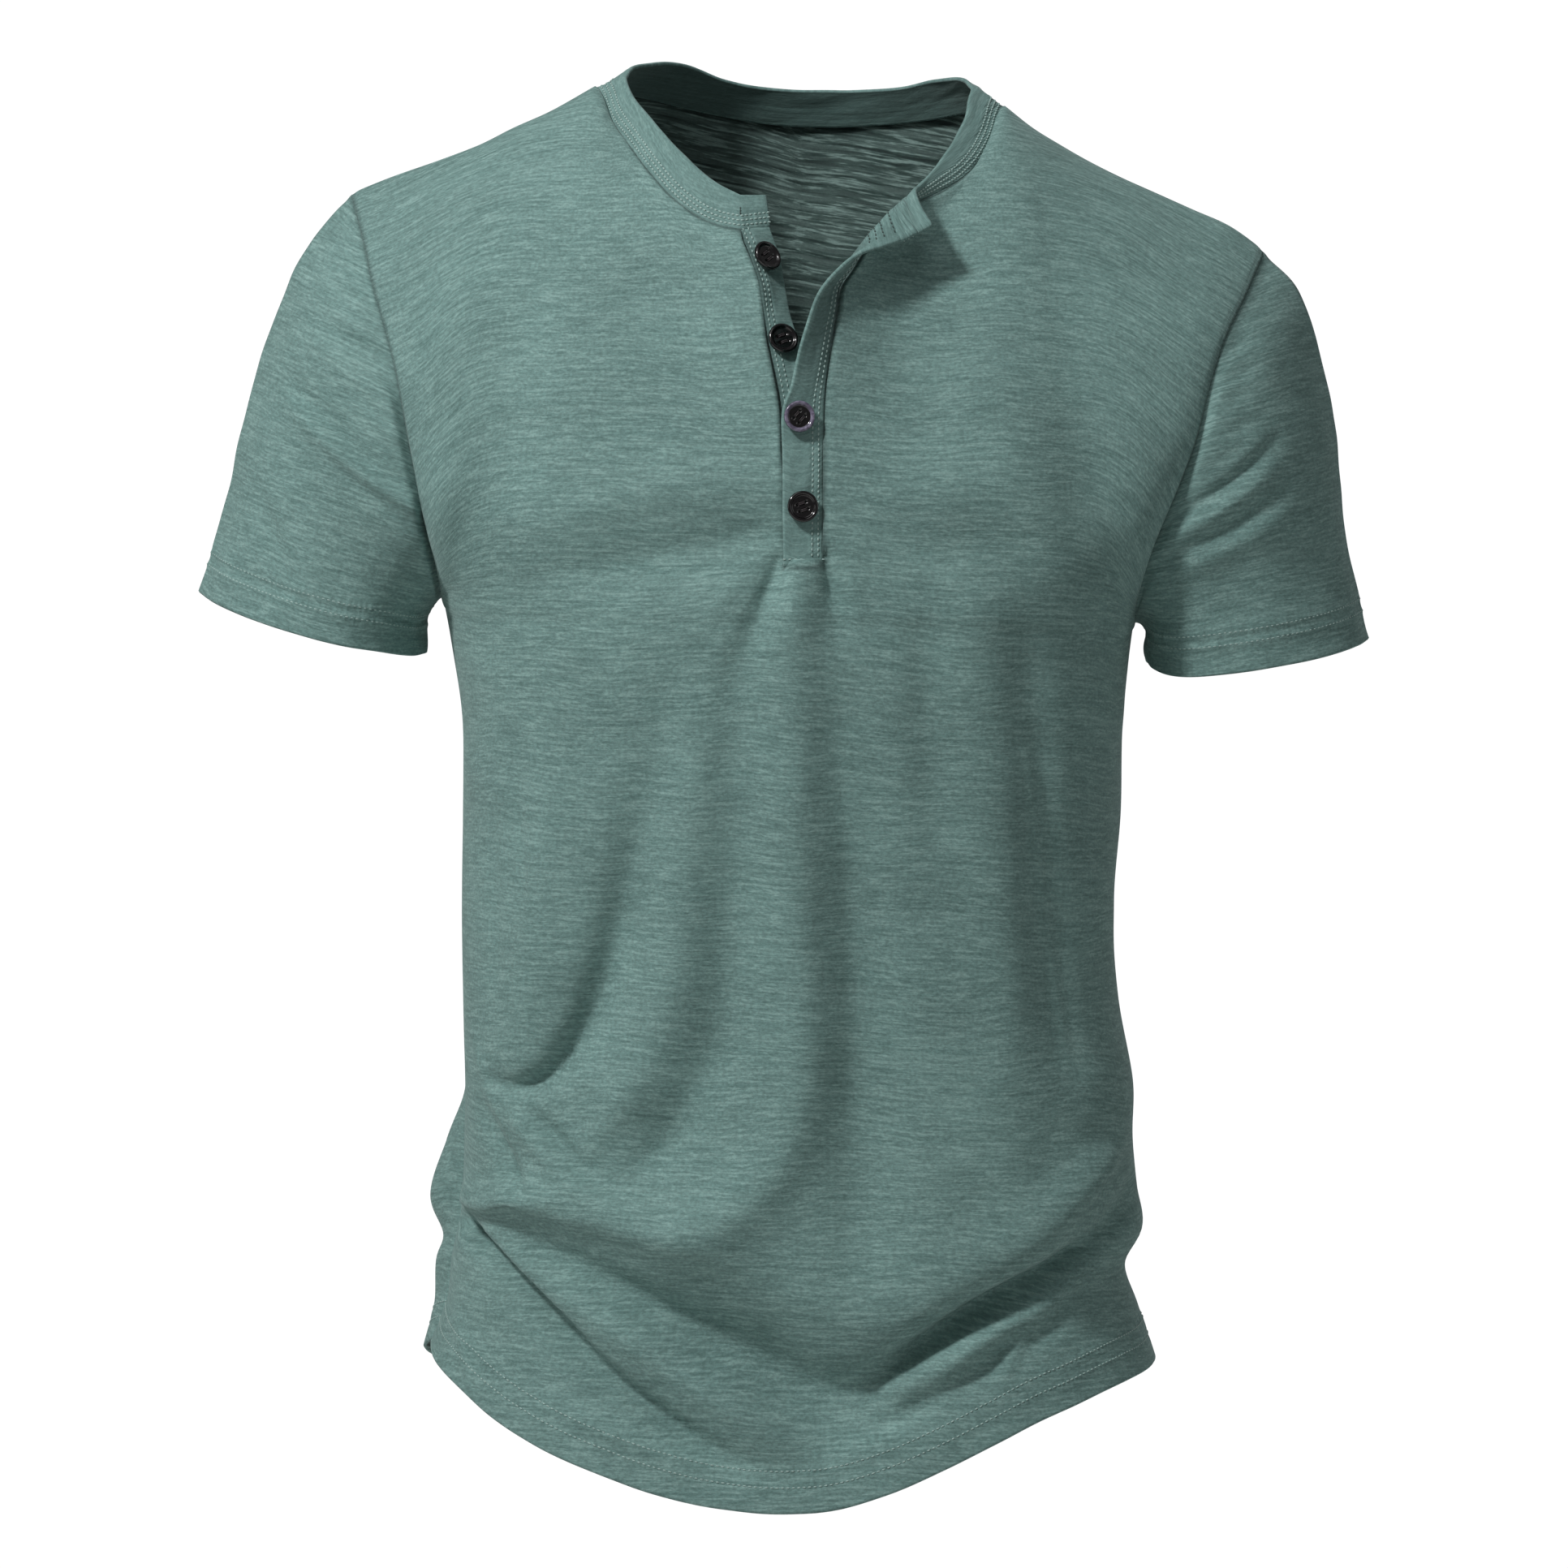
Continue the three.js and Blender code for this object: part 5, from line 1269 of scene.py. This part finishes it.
def polished(name, low, high):
    """Polished plastic with a faint swirl between a low and a high colour, under a clear shine."""
    material, t = new_material(name)
    place = t.add("ShaderNodeTexCoord").outputs["Object"]
    swirl = t.noise("Fac", place, Scale=420.0, Detail=3.0, Distortion=0.8)
    scratch = t.noise("Fac", place, Scale=2600.0, Detail=2.0)
    shader = t.nodes["Principled BSDF"]
    t.put(shader.inputs["Base Color"], t.mix(t.reach(swirl, 0.35, 0.7), low, high))
    t.put(shader.inputs["Roughness"], t.reach(scratch, 0.3, 0.8, 0.2, 0.3))
    bump = t.add("ShaderNodeBump", {"Height": scratch, "Strength": 0.15, "Distance": 0.00004}).outputs[0]
    t.put(shader.inputs["Normal"], bump)
    shine = {"IOR": 1.55, "Specular IOR Level": 0.3, "Coat Weight": 1.0, "Coat Roughness": 0.04}
    for socket, value in shine.items():
        t.put(shader.inputs[socket], value)
    return material


button_plastic = polished("dark_brown_plastic", colour(7, 5, 7), colour(16, 12, 15))
# A lighter copy of the plastic, for the painted reflection on the third button's rim
rim_painted_reflection = polished("dark_brown_plastic_painted_reflection", colour(84, 77, 98), colour(136, 130, 152))
brown_thread = thread("brown_thread", colour(24, 18, 20), colour(54, 46, 50))


def tube(path, radius, sides=8):
    """Points and faces of a round thread along a short path, closed at both ends."""
    path = np.array(path, float)
    way = np.gradient(path, axis=0)
    way /= np.linalg.norm(way, axis=1, keepdims=True)
    side = np.cross(way, (0.31, 0.52, 0.79))
    side /= np.linalg.norm(side, axis=1, keepdims=True)
    up = np.cross(way, side)
    turn = np.arange(sides) * 2 * math.pi / sides
    rings = path[:, None] + radius * (
        np.cos(turn)[None, :, None] * side[:, None] + np.sin(turn)[None, :, None] * up[:, None]
    )
    faces = []
    for k in range(len(path) - 1):
        for j in range(sides):
            n = (j + 1) % sides
            faces.append((k * sides + j, k * sides + n, (k + 1) * sides + n, (k + 1) * sides + j))
    faces.append(tuple(range(sides))[::-1])
    faces.append(tuple((len(path) - 1) * sides + j for j in range(sides)))
    return rings.reshape(-1, 3), faces


def button_parts(painted_reflection):
    """A button facing up: points, faces and the material slot of each face."""
    points, faces, slots = [], [], []
    turn = np.arange(BUTTON_SIDES) * 2 * math.pi / BUTTON_SIDES
    for radius, height in BUTTON_PROFILE:
        points += [(radius * math.cos(a), radius * math.sin(a), height) for a in turn]
    for ring in range(len(BUTTON_PROFILE) - 1):
        for k in range(BUTTON_SIDES):
            a, b = ring * BUTTON_SIDES + k, ring * BUTTON_SIDES + (k + 1) % BUTTON_SIDES
            faces.append((a, a + BUTTON_SIDES, b + BUTTON_SIDES, b))
    # The dished middle and the flat back, each with four holes, and the walls of the holes
    holes = []
    for hx, hy in ((1, 1), (-1, 1), (-1, -1), (1, -1)):
        holes.append([
            (hx * HOLE_SPACING + HOLE_RADIUS * math.cos(-a), hy * HOLE_SPACING + HOLE_RADIUS * math.sin(-a))
            for a in turn[::BUTTON_SIDES // HOLE_SIDES]
        ])
    last = (len(BUTTON_PROFILE) - 1) * BUTTON_SIDES
    first_hole = len(points)
    count = HOLE_SIDES * len(holes)
    for height in (BUTTON_DISH, 0):
        for hole in holes:
            points += [(x, y, height) for x, y in hole]
    loops = [[(x, y, 0) for x, y, _ in points[:BUTTON_SIDES]]]
    loops += [[(x, y, 0) for x, y in hole] for hole in holes]
    for corners in tessellate_polygon([[Vector(p) for p in loop] for loop in loops]):
        dish_at, back_at = (
            [rim + k if k < BUTTON_SIDES else inner + k - BUTTON_SIDES for k in corners]
            for rim, inner in ((0, first_hole), (last, first_hole + count))
        )
        a, b, c = (np.array(points[k]) for k in dish_at)
        if np.cross(b - a, c - a)[2] < 0:
            dish_at.reverse()
            back_at.reverse()
        faces.append(tuple(dish_at))
        faces.append(tuple(back_at[::-1]))
    for hole in range(len(holes)):
        first = first_hole + hole * HOLE_SIDES
        for k in range(HOLE_SIDES):
            a, b = first + k, first + (k + 1) % HOLE_SIDES
            faces.append((b, a, a + count, b + count))
    slots += [0] * len(faces)
    # The painted reflection: these rings of the rim get the light violet-grey copy of the plastic
    if painted_reflection:
        low, high = (ring * BUTTON_SIDES for ring in PAINTED_REFLECTION_RINGS)
        slots[low:high] = [2] * (high - low)
    # Thread over the dish between the holes, and its shank down to the cloth
    threads = []
    s = HOLE_SPACING
    for offset in (-0.32, 0.32):
        for y in (s, -s):
            arch = [
                (x * s, y + offset * 1.2, BUTTON_DISH + 0.42 * (1 - x**4) - 0.5 * abs(x) ** 7)
                for x in np.linspace(-1.12, 1.12, 13)
            ]
            threads.append(tube(arch, THREAD_RADIUS))
    threads.append(tube([(0, 0, 1.0), (0, 0, 0.2), (0, 0, -0.5), (0, 0, -1.0)], SHANK_RADIUS, 16))
    for rings, sides_of in threads:
        faces += [tuple(k + len(points) for k in face) for face in sides_of]
        points += [tuple(p) for p in rings]
        slots += [1] * len(sides_of)
    return np.array(points, float), faces, slots


def button_piece(name, strip, down, across, spin):
    """A button on its strip, square to the cloth there."""
    spot = strip([across - 0.1, across, across + 0.1], np.array([down - 0.02, down, down + 0.02]))
    over_way, down_way = spot[1, 2] - spot[1, 0], spot[2, 1] - spot[0, 1]
    normal = np.cross(down_way, over_way) if strip is under_strip else np.cross(over_way, down_way)
    normal /= np.linalg.norm(normal)
    right = np.cross(-down_way, normal)
    right /= np.linalg.norm(right)
    up = np.cross(normal, right)
    points, faces, slots = button_parts(name == PAINTED_REFLECTION_BUTTON)
    c, s = math.cos(spin), math.sin(spin)
    turned = (
        (points[:, :1] * c - points[:, 1:2] * s) * right + (points[:, :1] * s + points[:, 1:2] * c) * up
        + points[:, 2:] * normal
    )
    mesh = bpy.data.meshes.new(name + "_turned")
    placed = turned + spot[1, 1] + normal * BUTTON_STAND_OFF
    mesh.from_pydata((placed * MM).tolist(), [], faces)
    mesh.polygons.foreach_set("material_index", np.array(slots, np.int32))
    mesh.polygons.foreach_set("use_smooth", np.ones(len(faces), bool))
    mesh.update()
    button = add_object(name + "_turned", mesh)
    for material in (button_plastic, brown_thread, rim_painted_reflection):
        mesh.materials.append(material)
    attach(button, "root")
    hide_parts(name)


for button_row in BUTTONS:
    button_piece(*button_row)


# The floor is a plain pale disc, well below the hem, under plain soft studio light.
# The main light stands up to the left of the camera, and wide weak ones fill in from above,
# from both sides and from behind. Places here are in metres.
FLOOR_RADIUS = 3.0
FLOOR_HEIGHT = -1.3
FLOOR_SIDES = 96
SHIRT_MIDDLE = Vector((0, 0, -0.3))
ROOM_LIGHT = 0.12
ROOM_SEEN = 1.05

pale, pale_tree = new_material("pale_floor")
mottle = pale_tree.noise("Fac", pale_tree.add("ShaderNodeTexCoord").outputs["Object"], Scale=3.0)
pale_shader = pale_tree.nodes["Principled BSDF"]
pale_colour = pale_tree.mix(mottle, colour(232, 232, 230), colour(240, 240, 238))
pale_tree.put(pale_shader.inputs["Base Color"], pale_colour)
pale_tree.put(pale_shader.inputs["Roughness"], 0.8)

floor_mesh = bpy.data.meshes.new("floor")
floor_turns = np.linspace(0, 2 * math.pi, FLOOR_SIDES + 1)[:-1]
floor_rim = [(FLOOR_RADIUS * math.cos(a), FLOOR_RADIUS * math.sin(a), FLOOR_HEIGHT) for a in floor_turns]
floor_mesh.from_pydata(floor_rim, [], [tuple(range(FLOOR_SIDES))])
floor_mesh.materials.append(pale)
floor = add_object("floor", floor_mesh)


def soft_light(name, place, size, watts):
    """A round soft light that looks at the middle of the shirt."""
    lamp = bpy.data.lights.new(name, "AREA")
    lamp.shape = "DISK"
    lamp.size = size
    lamp.energy = watts
    light = add_object(name, lamp)
    light.location = place
    light.rotation_euler = (SHIRT_MIDDLE - Vector(place)).to_track_quat("-Z", "Y").to_euler()


soft_light("key_light", (-1.48, -1.65, 1.75), 0.4, 56)
soft_light("top_light", (-0.3, -1.5, 2.3), 1.6, 8)
soft_light("left_fill", (-2.7, -0.9, 0.2), 1.5, 4)
soft_light("right_fill", (2.7, -1.0, 0.4), 1.5, 4)
soft_light("back_fill", (0.9, 2.9, 0.6), 1.8, 12)

# A white room: it lights the shirt softly from all round, and is seen as plain white
world = bpy.data.worlds.new("white_room")
scene.world = world
world.use_nodes = True
room = Tree(world.node_tree)
room.nodes.clear()
seen = room.add("ShaderNodeLightPath").outputs["Is Camera Ray"]
strength = room.add("ShaderNodeMapRange", {0: seen, 3: ROOM_LIGHT, 4: ROOM_SEEN}).outputs[0]
background = room.add("ShaderNodeBackground", {"Color": (1.0, 1.0, 1.0, 1.0), "Strength": strength})
room.links.new(background.outputs[0], room.add("ShaderNodeOutputWorld").inputs[0])
